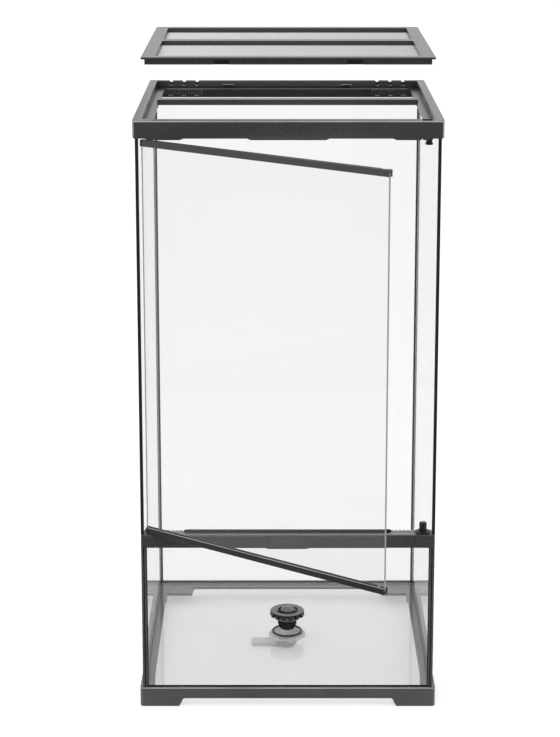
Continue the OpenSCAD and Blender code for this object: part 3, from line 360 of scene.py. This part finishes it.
def material(key):
    """The cabinet's materials, made on first use from the settings."""
    if key in MATERIALS:
        return MATERIALS[key]
    look = bpy.context.scene.cabinet_finish
    made = {
        "moulding": lambda: plastic("Moulding", look.moulding, look.gloss, look.grain),
        "base": lambda: plastic("Base_moulding", look.base, look.gloss, look.grain),
        # Painted light for the base's ledges and the rail's top.
        "ledge": lambda: plastic("Base_ledge", look.ledge, look.gloss, look.grain, cloud=0.05),
        "plate": lambda: plastic("Rail_plate", look.plate, look.gloss + 0.1, look.grain * 0.7, 0.12),
        # Painted shade: near-black for the wall under the cable gates and the lid clips.
        "channel": lambda: plastic("Painted_shade_black", look.vent, 0.5, look.grain, shine=0.5),
        "rail": lambda: plastic("Rail_moulding", look.rail, look.gloss, look.grain),
        # Painted shade for the door's bottom rail.
        "door_foot_painted_shade": lambda: plastic("Door_foot_shaded", look.door_foot_painted_shade, look.gloss, look.grain, shine=0.2),
        # Painted highlight for the rounded edges.
        "painted_highlight": lambda: plastic("Painted_highlight_edge", look.painted_highlight, look.gloss + 0.06, look.grain, 0.12, 0.25),
        "strip": lambda: plastic("Corner_strip", look.strip, look.gloss, look.grain, shine=0.3),
        "trim": lambda: plastic("Trim", look.trim, look.gloss + 0.08, look.grain, 0.06, shine=0.28),
        "strainer": lambda: plastic("Strainer", look.strainer, look.gloss, look.grain, 0.05),
        "vent": lambda: plastic("Vent_strip", look.vent, 0.7, look.grain, 0.2, shine=0.5, ior=1.12),
        "grey": lambda: plastic("Grey_part", look.grey, look.gloss + 0.02, look.grain, 0.06),
        "pale": lambda: plastic("Pale_part", look.pale, look.gloss + 0.06, look.grain, 0.06, 0.06),
        "glass": lambda: glass("Float_glass", look.glass, GLASS_IOR["glass"]),
        "door_glass": lambda: glass("Door_glass", look.glass, GLASS_IOR["door_glass"]),
        "floor_glass": lambda: glass("Floor_glass", look.floor_glass, GLASS_IOR["floor_glass"]),
        "glass_edge": lambda: ground_glass("Ground_edge", look.glass_edge),
        "silicone": lambda: rubber("Silicone", look.silicone, 0.35),
        "gasket": lambda: rubber("Gasket", look.trim, 0.5),
        "steel": lambda: drawn_steel("Steel", look.steel, 0.26),
        "mesh": lambda: woven_steel("Screen_wire", look.wire, look.wire_pitch),
    }
    MATERIALS[key] = made[key]()
    return MATERIALS[key]


# ---------------------------------------------------------------- shaping


def dress(node, key):
    """Gives a CAD node one of the cabinet's materials."""
    data = NODES[node].data
    data.materials.clear()
    data.materials.append(material(key))


def solid_copy(node):
    """The node's mesh with its triangles merged into whole faces."""
    bm = bmesh.new()
    bm.from_mesh(NODES[node].data)
    bmesh.ops.remove_doubles(bm, verts=bm.verts, dist=1e-6)
    bmesh.ops.dissolve_limit(bm, angle_limit=math.radians(0.3), verts=bm.verts, edges=bm.edges)
    return bm


def settle(name, mesh, node):
    """Makes a piece of the mesh that rides on the node's body and stands for the node."""
    piece = bpy.data.objects.new(name, mesh)
    bpy.context.scene.collection.objects.link(piece)
    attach(piece, NODES[node]["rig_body"])
    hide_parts(node)
    return piece


def place_piece(name, bm, keys, node):
    """Turns a worked copy into a piece with the given materials."""
    mesh = bpy.data.meshes.new(name)
    bm.to_mesh(mesh)
    bm.free()
    for key in keys:
        mesh.materials.append(material(key))
    return settle(name, mesh, node)


def middle(edge):
    """The middle of an edge."""
    return (edge.verts[0].co + edge.verts[1].co) / 2


def soften(bm, chosen):
    """Rounds the long outer edges that pass the test more softly than the rest, and gives the new faces the
    second material, the painted highlight.
    """
    edges = [e for e in bm.edges if len(e.link_faces) == 2 and e.calc_length() > LONG
             and e.calc_face_angle_signed() > SMOOTH_ANGLE and chosen(middle(e))]
    radius = bpy.context.scene.cabinet_finish.soft_edge
    bmesh.ops.bevel(bm, geom=edges, offset=radius, offset_type="OFFSET", segments=4, profile=0.5,
                    affect="EDGES", clamp_overlap=True, material=1)


def edge_weights(bm):
    """Marks the outer edges that are to be rounded, and the creases that stay sharp."""
    weight = bm.edges.layers.float.new("bevel_weight_edge")
    for e in bm.edges:
        if len(e.link_faces) != 2:
            continue
        turn = e.calc_face_angle_signed()
        e.smooth = abs(turn) < SMOOTH_ANGLE
        if turn > SMOOTH_ANGLE:
            e[weight] = 1.0
    for f in bm.faces:
        f.smooth = True


def rounded(node, key, radius, edge_key=None, soft=None):
    """Stands in for a moulded node: outer edges rounded, and those that pass the soft test more softly; with
    an edge material, all the rounded faces take it as a painted highlight.
    """
    bm = solid_copy(node)
    if soft:
        soften(bm, soft)
    edge_weights(bm)
    piece = place_piece(f"{node}_shell", bm, (key, edge_key) if edge_key else (key,), node)
    bevel = piece.modifiers.new("Rounding", "BEVEL")
    bevel.limit_method = "WEIGHT"
    bevel.width = radius
    bevel.segments = 2
    # The rounded faces take the second material, the painted highlight.
    if edge_key:
        bevel.material = 1
    bevel.use_clamp_overlap = True
    bevel.harden_normals = True
    bevel.miter_outer = "MITER_ARC"
    return piece


def repaint(piece, key, inside):
    """Gives the faces whose centres pass the test another material."""
    piece.data.materials.append(material(key))
    index = len(piece.data.materials) - 1
    for f in piece.data.polygons:
        if inside(f.center):
            f.material_index = index


def door_depth(place):
    """How far a place on the door would lie behind the hinge if the door were shut."""
    turn = -math.radians(DOOR["range_deg"][0])
    return (place.x - DOOR["pos_m"][0]) * math.sin(turn) + (place.y - DOOR["pos_m"][1]) * math.cos(turn)


def lift_underside(bm, gap):
    """Leaves a film of air between a lying pane and what carries it."""
    low = min(v.co.z for v in bm.verts)
    for v in bm.verts:
        if v.co.z < low + TOUCH:
            v.co.z += gap


def pane(node, chamfer, key, edge_key):
    """Stands in for a pane: clear faces, and ground edges with a small chamfer except at the very back."""
    bm = solid_copy(node)
    if node == "floor_pane":
        lift_underside(bm, AIR)
    big = max(f.calc_area() for f in bm.faces) * 0.3
    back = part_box("left_pane")[1].y - TOUCH if edge_key == "glass_edge" else math.inf
    weight = bm.edges.layers.float.new("bevel_weight_edge")
    for f in bm.faces:
        f.material_index = 0 if f.calc_area() > big or f.calc_center_median().y > back else 1
    for e in bm.edges:
        if len(e.link_faces) == 2 and e.calc_face_angle_signed() > SMOOTH_ANGLE and middle(e).y < back:
            e[weight] = 1.0
    piece = place_piece(f"{node}_glass", bm, (key, edge_key), node)
    bevel = piece.modifiers.new("Seaming", "BEVEL")
    bevel.limit_method = "WEIGHT"
    bevel.width = chamfer
    bevel.segments = 1
    bevel.material = 1
    return piece


# ---------------------------------------------------------------- geometry nodes


def new_tree(name, sizes):
    """A geometry node tree with the named size inputs and a geometry output."""
    tree = bpy.data.node_groups.new(name, "GeometryNodeTree")
    ids = {}
    for label, kind, default in sizes:
        socket = tree.interface.new_socket(name=label, in_out="INPUT", socket_type=kind)
        if default is not None:
            socket.default_value = default
        ids[label] = socket.identifier
    tree.interface.new_socket(name="Geometry", in_out="OUTPUT", socket_type="NodeSocketGeometry")
    return tree, tree.nodes.new("NodeGroupInput"), tree.nodes.new("NodeGroupOutput"), ids


def math_node(tree, operation, a, b=None):
    """The result of one maths operation on numbers or sockets."""
    n = tree.nodes.new("ShaderNodeMath")
    n.operation = operation
    for i, value in enumerate((a, b)):
        if value is None:
            continue
        if isinstance(value, (int, float)):
            n.inputs[i].default_value = value
        else:
            tree.links.new(value, n.inputs[i])
    return n.outputs[0]


def vector_node(tree, x, y, z):
    """A vector of three numbers or sockets."""
    n = tree.nodes.new("ShaderNodeCombineXYZ")
    for i, value in enumerate((x, y, z)):
        if isinstance(value, (int, float)):
            n.inputs[i].default_value = value
        else:
            tree.links.new(value, n.inputs[i])
    return n.outputs[0]


def wires_along(tree, given, along_x):
    """One layer of the screen: straight wires set side by side over the panel."""
    run, across = ("Width", "Depth") if along_x else ("Depth", "Width")
    half = math_node(tree, "DIVIDE", given.outputs[run], 2.0)
    back = math_node(tree, "MULTIPLY", half, -1.0)
    height = math_node(tree, "MULTIPLY", given.outputs["Wire diameter"], 0.45 if along_x else -0.45)

    def place(along, aside, up=0):
        return vector_node(tree, along, aside, up) if along_x else vector_node(tree, aside, along, up)

    start = place(back, 0, height)
    end = place(half, 0, height)
    line = add(tree, "GeometryNodeCurvePrimitiveLine", {"Start": start, "End": end})
    profile = add(tree, "GeometryNodeCurvePrimitiveCircle")
    profile.inputs["Resolution"].default_value = 5
    tree.links.new(math_node(tree, "DIVIDE", given.outputs["Wire diameter"], 2.0), profile.inputs["Radius"])
    wire = add(tree, "GeometryNodeCurveToMesh",
               {"Curve": line.outputs["Curve"], "Profile Curve": profile.outputs["Curve"]})
    wire.inputs["Fill Caps"].default_value = True
    room = math_node(tree, "SUBTRACT", given.outputs[across], given.outputs["Wire diameter"])
    count = math_node(tree, "FLOOR", math_node(tree, "DIVIDE", room, given.outputs["Pitch"]))
    first = math_node(tree, "MULTIPLY", math_node(tree, "MULTIPLY", count, given.outputs["Pitch"]), -0.5)
    points = add(tree, "GeometryNodeMeshLine")
    tree.links.new(math_node(tree, "ADD", count, 1.0), points.inputs["Count"])
    tree.links.new(place(0, first), points.inputs["Start Location"])
    tree.links.new(place(0, given.outputs["Pitch"]), points.inputs["Offset"])
    placed = add(tree, "GeometryNodeInstanceOnPoints",
                 {"Points": points.outputs["Mesh"], "Instance": wire.outputs["Mesh"]})
    return placed.outputs["Instances"]


def screen_tree():
    """The node tree of a wire screen: two crossing layers of wires round a centre."""
    tree, given, result, ids = new_tree("Wire screen", (
        ("Width", "NodeSocketFloat", 0.41),
        ("Depth", "NodeSocketFloat", 0.2),
        ("Centre", "NodeSocketVector", None),
        ("Pitch", "NodeSocketFloat", 0.0016),
        ("Wire diameter", "NodeSocketFloat", 0.0003),
        ("Material", "NodeSocketMaterial", None),
    ))
    both = tree.nodes.new("GeometryNodeJoinGeometry")
    for along_x in (True, False):
        tree.links.new(wires_along(tree, given, along_x), both.inputs["Geometry"])
    real = add(tree, "GeometryNodeRealizeInstances", {"Geometry": both.outputs["Geometry"]})
    moved = add(tree, "GeometryNodeTransform", {"Geometry": real.outputs["Geometry"],
                                               "Translation": given.outputs["Centre"]})
    painted = add(tree, "GeometryNodeSetMaterial", {"Geometry": moved.outputs["Geometry"],
                                                   "Material": given.outputs["Material"]})
    tree.links.new(painted.outputs["Geometry"], result.inputs["Geometry"])
    return tree, ids


def grown(name, tree, ids, values, node):
    """Evaluates a node tree with the given inputs and keeps the result as a plain mesh piece."""
    carrier = bpy.data.objects.new(name + "_carrier", bpy.data.meshes.new(name + "_carrier"))
    bpy.context.scene.collection.objects.link(carrier)
    modifier = carrier.modifiers.new("Nodes", "NODES")
    modifier.node_group = tree
    for label, value in values.items():
        modifier[ids[label]] = value
    depsgraph = bpy.context.evaluated_depsgraph_get()
    mesh = bpy.data.meshes.new_from_object(carrier.evaluated_get(depsgraph))
    carrier.modifiers.clear()
    bpy.data.objects.remove(carrier)
    if not mesh.polygons:
        raise RuntimeError(f"{name} came out empty")
    mesh.name = name
    return settle(name, mesh, node)


# ---------------------------------------------------------------- operators


class CABINET_OT_frames(bpy.types.Operator):
    """Dresses the base frame, the top frame and what is moulded to them"""

    bl_idname = "cabinet.frames"
    bl_label = "Frames"

    def execute(self, context):
        look = context.scene.cabinet_finish
        self.base_frame(look)
        self.top_frame(look)
        rounded("top_cross_bar", "moulding", look.edge)
        # Lid clips: near-black as painted shade, with painted highlight on their rounded edges.
        clips = rounded("lid_clips", "channel", look.small_edge, "painted_highlight")
        clip_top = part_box("lid_clips")[1].z
        # Painted highlight on the clips' top faces.
        repaint(clips, "painted_highlight", lambda c: c.z > clip_top - TOUCH)
        return {"FINISHED"}

    def base_frame(self, look):
        """The base: painted highlight on its rounded edges, rounded more softly on the top edges in front and
        at the sides, and the ledges under the glass painted lighter as painted light.
        """
        low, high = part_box("base_frame")

        def highlight_front_or_side(c):
            return c.z > high.z - TOUCH and (c.y < low.y + OUTER_BAND or abs(c.x) > high.x - OUTER_BAND)

        # Painted highlight on the rounded edges, softest on the top edges in front and at the sides.
        base = rounded("base_frame", "base", look.edge, "painted_highlight", highlight_front_or_side)
        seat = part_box("floor_pane")[0].z
        # Painted light: the ledges under the floor pane in the lighter copy.
        repaint(base, "ledge", lambda c: abs(c.z - seat) < TOUCH)

    def top_frame(self, look):
        """The top frame: painted highlight on its rounded edges, rounded more softly on the front edge and on
        the edge over the cable gates; painted shade on the wall under the gates; and the floors of the cable
        inlets painted near-white as painted light.
        """
        low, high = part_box("top_frame")
        gate_low, gate_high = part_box(GATES[0])

        def header_or_channel(c):
            header = c.z > high.z - TOUCH and c.y < low.y + OUTER_BAND
            over_gates = gate_high.z < c.z < gate_high.z + LEDGE_LINE
            return header or (over_gates and abs(c.y - gate_high.y) < OUTER_BAND)

        def painted_light_inlet_floor(c):
            below, inward = high.z - c.z, high.y - c.y
            return INLET_FLOOR[0] < below < INLET_FLOOR[1] and INLET_REACH[0] < inward < INLET_REACH[1]

        # Painted highlight on the rounded edges, softest on the header's front edge and the edge over the
        # gates.
        top = rounded("top_frame", "moulding", look.edge, "painted_highlight", header_or_channel)
        # Painted shade: the wall under the cable gates in near-black.
        repaint(top, "channel", lambda c: c.z < gate_high.z and gate_low.y < c.y < gate_high.y)
        # Painted light: the inlet floors in near-white.
        repaint(top, "pale", painted_light_inlet_floor)


class CABINET_OT_rail(bpy.types.Operator):
    """Dresses the rail under the door, its end blocks, plate and vent strip"""

    bl_idname = "cabinet.rail"
    bl_label = "Rail"

    def execute(self, context):
        look = context.scene.cabinet_finish
        rail = rounded("mid_rail", "rail", look.edge)
        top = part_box("mid_rail")[1].z
        # Painted light: the rail's top faces in the lighter copy.
        repaint(rail, "ledge", lambda c: c.z > top - TOUCH)
        for node in ("rail_hinge_block", "rail_catch_block"):
            rounded(node, "rail", look.edge)
        rounded("vent_strip", "vent", look.small_edge)
        rounded("rail_plate", "plate", look.small_edge)
        return {"FINISHED"}


class CABINET_OT_glass(bpy.types.Operator):
    """Dresses the panes, the beads in the corners and the strips on the edges"""

    bl_idname = "cabinet.glass"
    bl_label = "Glass"

    def execute(self, context):
        look = context.scene.cabinet_finish
        for node in PANES:
            pane(node, look.ground_edge, PANE_GLASS.get(node, "glass"), PANE_EDGE.get(node, "glass_edge"))
        for node in ("back_corner_seals", "front_corner_seals"):
            dress(node, "silicone")
        rounded("upper_edge_strips", "trim", look.small_edge)
        strips = rounded("lower_corner_strips", "strip", look.small_edge)
        low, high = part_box("lower_corner_strips")
        behind, groove_x = low.y + STRIP_FACE, high.x - STRIP_GROOVE
        repaint(strips, "vent", lambda c: c.y > behind and abs(c.x) > groove_x)
        repaint(strips, "trim", lambda c: c.y > behind and abs(c.x) < groove_x)
        return {"FINISHED"}


class CABINET_OT_door(bpy.types.Operator):
    """Dresses the door's rails, caps and hinge pins"""

    bl_idname = "cabinet.door"
    bl_label = "Door"

    def execute(self, context):
        look = context.scene.cabinet_finish
        for node in DOOR_TOP:
            rounded(node, "moulding", look.small_edge)
        for node in DOOR_BOTTOM:
            # The bottom rail in the darker copy, as painted shade.
            rail = rounded(node, "door_foot_painted_shade", look.small_edge)
            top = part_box(node)[1].z
            # Painted highlight on the lip at the rail's front top edge.
            repaint(rail, "painted_highlight", lambda c: c.z > top - RAIL_LIP and door_depth(c) < LIP_BACK)
            # Painted shade: the flat top behind the lip in near-black, for the groove the pane sits in.
            repaint(rail, "trim", lambda c: c.z > top - TOUCH and door_depth(c) > FLAT_FRONT)
        for node in ("hinge_pin_top", "hinge_pin_bottom"):
            rounded(node, "steel", look.small_edge)
        return {"FINISHED"}


class CABINET_OT_catch(bpy.types.Operator):
    """Dresses the catch pins, the lock button and its spring"""

    bl_idname = "cabinet.catch"
    bl_label = "Catch"

    def execute(self, context):
        look = context.scene.cabinet_finish
        rounded("catch_pin_bottom", "trim", look.small_edge)
        rounded("catch_pin_top", "trim", look.small_edge)
        rounded("lock_button", "trim", look.edge)
        dress("lock_spring", "steel")
        return {"FINISHED"}


class CABINET_OT_gates(bpy.types.Operator):
    """Dresses the six gates of the cable inlets"""

    bl_idname = "cabinet.gates"
    bl_label = "Cable gates"

    def execute(self, context):
        look = context.scene.cabinet_finish
        for node in GATES:
            # Painted highlight on the gates' rounded edges.
            rounded(node, "trim", look.small_edge, "painted_highlight")
        return {"FINISHED"}


class CABINET_OT_screen(bpy.types.Operator):
    """Dresses the screen cover's frame and weaves its two wire screens"""

    bl_idname = "cabinet.screen"
    bl_label = "Screen cover"

    def execute(self, context):
        look = context.scene.cabinet_finish
        cover = rounded("lid_frame", "moulding", look.edge)
        low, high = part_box("lid_frame")
        clip_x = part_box("lid_clips")[1].x - CLIP_IN

        def painted_shade_pocket(c):
            from_side = min(c.y - low.y, high.y - c.y)
            across = abs(abs(c.x) - clip_x) < POCKET_HALF
            return across and c.z < low.z + POCKET_TOP and POCKET_DEPTH[0] < from_side < POCKET_DEPTH[1]

        # Painted shade: the pockets' inner faces in near-black.
        repaint(cover, "trim", painted_shade_pocket)
        bar_low, bar_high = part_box("top_cross_bar")
        # Painted shade: the cover's top over the cross bar in near-black.
        repaint(cover, "trim", lambda c: c.z > high.z - TOUCH and bar_low.y < c.y < bar_high.y)
        tree, ids = screen_tree()
        for node in ("lid_mesh_front", "lid_mesh_rear"):
            low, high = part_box(node)
            grown(f"{node}_wires", tree, ids, {
                "Width": high.x - low.x,
                "Depth": high.y - low.y,
                "Centre": tuple((low + high) / 2),
                "Pitch": look.wire_pitch,
                "Wire diameter": look.wire_d,
                "Material": material("mesh"),
            }, node)
        return {"FINISHED"}


class CABINET_OT_drain(bpy.types.Operator):
    """Dresses the strainer, the ring seal and the drain under the floor"""

    bl_idname = "cabinet.drain"
    bl_label = "Drain"

    def execute(self, context):
        look = context.scene.cabinet_finish
        body = rounded("strainer_body", "vent", look.small_edge)
        low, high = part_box("strainer_body")
        middle_y = (low.y + high.y) / 2
        flange_r = (high.x - low.x) / 2

        def out(c):
            return math.hypot(c.x, c.y - middle_y)

        def flange_or_rib(c):
            return c.z > high.z - FLANGE_TOP or (RIB_OUT[0] < out(c) < RIB_OUT[1] and c.z > high.z - RIB_FOOT)

        repaint(body, "strainer", flange_or_rib)
        repaint(body, "trim", lambda c: out(c) > flange_r - FLANGE_RIM and c.z < high.z - FLANGE_T)
        grate = rounded("strainer_grate", "grey", look.small_edge)
        repaint(grate, "vent", lambda c: out(c) > CAP_R)
        dress("drain_gasket", "gasket")
        for node in ("drain_nut", "drain_bowl", "hose_tail"):
            rounded(node, "pale", look.small_edge)
        return {"FINISHED"}


class CABINET_OT_stage(bpy.types.Operator):
    """Sets up the camera, the pale floor, the lamps and the surrounding light"""

    bl_idname = "cabinet.stage"
    bl_label = "Stage"

    def execute(self, context):
        scene = context.scene
        light = scene.studio_light
        self.camera(scene)
        self.floor(scene, light)
        lamp("Key", KEY_AT, KEY_SIZE, light.key, KEY_AIM)
        lamp("Fill", FILL_AT, FILL_SIZE, light.fill, FILL_AIM)
        surroundings(scene, light)
        scene.view_settings.view_transform = "Standard"
        return {"FINISHED"}

    def camera(self, scene):
        """A long lens a little above the top frame, looking slightly down at the front."""
        data = bpy.data.cameras.new("Camera")
        data.lens = LENS
        data.sensor_width = SENSOR
        data.shift_x, data.shift_y = SHIFT
        data.clip_start = 0.1
        data.clip_end = 100
        camera = bpy.data.objects.new("Camera", data)
        camera.location = EYE
        camera.rotation_euler = (math.pi / 2 - EYE_DOWN, 0, 0)
        scene.collection.objects.link(camera)
        scene.camera = camera

    def floor(self, scene, light):
        """A wide flat floor just under the feet."""
        bm = bmesh.new()
        bmesh.ops.create_grid(bm, x_segments=1, y_segments=1, size=FLOOR_HALF)
        mesh = bpy.data.meshes.new("Floor")
        bm.to_mesh(mesh)
        bm.free()
        floor = bpy.data.objects.new("Floor", mesh)
        floor.location.z = FLOOR_Z
        scene.collection.objects.link(floor)
        mesh.materials.append(floor_finish(light))


def lamp(name, place, size, watts, target):
    """A round soft lamp that points at the target and isn't seen itself."""
    data = bpy.data.lights.new(name, "AREA")
    data.shape = "DISK"
    data.size = size
    data.energy = watts
    ob = bpy.data.objects.new(name, data)
    ob.location = place
    ob.rotation_euler = (Vector(target) - Vector(place)).to_track_quat("-Z", "Y").to_euler()
    ob.visible_camera = False
    bpy.context.scene.collection.objects.link(ob)


def floor_finish(light):
    """Pale floor: topped up for what sees it, so that only shadows darken it; dimmer in front for gloss."""
    mat = bpy.data.materials.new("Pale_floor")
    mat.use_nodes = True
    tree = mat.node_tree
    tree.nodes.clear()
    out = add(tree, "ShaderNodeOutputMaterial")
    matt = add(tree, "ShaderNodeBsdfDiffuse")
    matt.inputs["Color"].default_value = (*light.floor, 1)
    glow = add(tree, "ShaderNodeEmission")
    path = add(tree, "ShaderNodeLightPath")
    plain = math_node(tree, "MULTIPLY", path.outputs["Is Camera Ray"], light.glow)
    through = math_node(tree, "MULTIPLY", path.outputs["Is Transmission Ray"], light.behind)
    tree.links.new(math_node(tree, "MAXIMUM", plain, through), glow.inputs["Strength"])
    total = add(tree, "ShaderNodeAddShader")
    tree.links.new(matt.outputs["BSDF"], total.inputs[0])
    tree.links.new(glow.outputs["Emission"], total.inputs[1])
    place = add(tree, "ShaderNodeTexCoord").outputs["Object"]
    parts = add(tree, "ShaderNodeSeparateXYZ", {"Vector": place})
    beside = math_node(tree, "ADD", math_node(tree, "ABSOLUTE", parts.outputs["X"]), parts.outputs["Y"])
    sheen = add(tree, "ShaderNodeEmission")
    tree.links.new(spread(tree, beside, light.front, 1.0, -0.4, 0.3), sheen.inputs["Strength"])
    either = add(tree, "ShaderNodeMixShader")
    mirrored = math_node(tree, "SUBTRACT", path.outputs["Is Glossy Ray"], path.outputs["Is Transmission Ray"])
    tree.links.new(mirrored, either.inputs[0])
    tree.links.new(total.outputs["Shader"], either.inputs[1])
    tree.links.new(sheen.outputs["Emission"], either.inputs[2])
    tree.links.new(either.outputs["Shader"], out.inputs["Surface"])
    return mat


def surroundings(scene, light):
    """White to whatever looks at it, dimmer in front for gloss, and a plain level as light."""
    world = bpy.data.worlds.new("Studio")
    scene.world = world
    world.use_nodes = True
    tree = world.node_tree
    tree.nodes.clear()
    out = add(tree, "ShaderNodeOutputWorld")
    back = add(tree, "ShaderNodeBackground")
    back.inputs["Color"].default_value = (1, 1, 1, 1)
    way = add(tree, "ShaderNodeTexCoord").outputs["Generated"]
    parts = add(tree, "ShaderNodeSeparateXYZ", {"Vector": way})
    gloss = spread(tree, parts.outputs["Y"], light.front, 1.0, -0.75, -0.15)
    path = add(tree, "ShaderNodeLightPath")
    level = add(tree, "ShaderNodeMix", data_type="FLOAT")
    level.inputs[2].default_value = light.ambient
    tree.links.new(path.outputs["Is Glossy Ray"], level.inputs[0])
    tree.links.new(gloss, level.inputs[3])
    seen = math_node(tree, "MAXIMUM", path.outputs["Is Camera Ray"], path.outputs["Is Transmission Ray"])
    final = add(tree, "ShaderNodeMix", data_type="FLOAT")
    final.inputs[3].default_value = 1.0
    tree.links.new(seen, final.inputs[0])
    tree.links.new(level.outputs[0], final.inputs[2])
    tree.links.new(final.outputs[0], back.inputs["Strength"])
    tree.links.new(back.outputs["Background"], out.inputs["Surface"])


STEPS = (
    CABINET_OT_stage,
    CABINET_OT_frames,
    CABINET_OT_rail,
    CABINET_OT_glass,
    CABINET_OT_door,
    CABINET_OT_catch,
    CABINET_OT_gates,
    CABINET_OT_screen,
    CABINET_OT_drain,
)


class CABINET_PT_panel(bpy.types.Panel):
    """Lists the cabinet's settings and steps"""

    bl_idname = "CABINET_PT_panel"
    bl_label = "Terrarium cabinet"
    bl_space_type = "VIEW_3D"
    bl_region_type = "UI"
    bl_category = "Terrarium"

    def draw(self, context):
        for group in (context.scene.cabinet_finish, context.scene.studio_light):
            box = self.layout.box()
            for name in group.bl_rna.properties.keys():
                if name not in ("rna_type", "name"):
                    box.prop(group, name)
        for step in STEPS:
            self.layout.operator(step.bl_idname)


CLASSES = (CabinetFinish, StudioLight, *STEPS, CABINET_PT_panel)


def register():
    """Adds the cabinet's classes and settings to Blender."""
    for cls in CLASSES:
        bpy.utils.register_class(cls)
    bpy.types.Scene.cabinet_finish = bpy.props.PointerProperty(type=CabinetFinish)
    bpy.types.Scene.studio_light = bpy.props.PointerProperty(type=StudioLight)


def unregister():
    """Takes them out again."""
    del bpy.types.Scene.studio_light
    del bpy.types.Scene.cabinet_finish
    for cls in reversed(CLASSES):
        bpy.utils.unregister_class(cls)


def main():
    """Runs every step in order."""
    register()
    for step in STEPS:
        group, call = step.bl_idname.split(".")
        getattr(getattr(bpy.ops, group), call)()


if __name__ == "__main__":
    main()
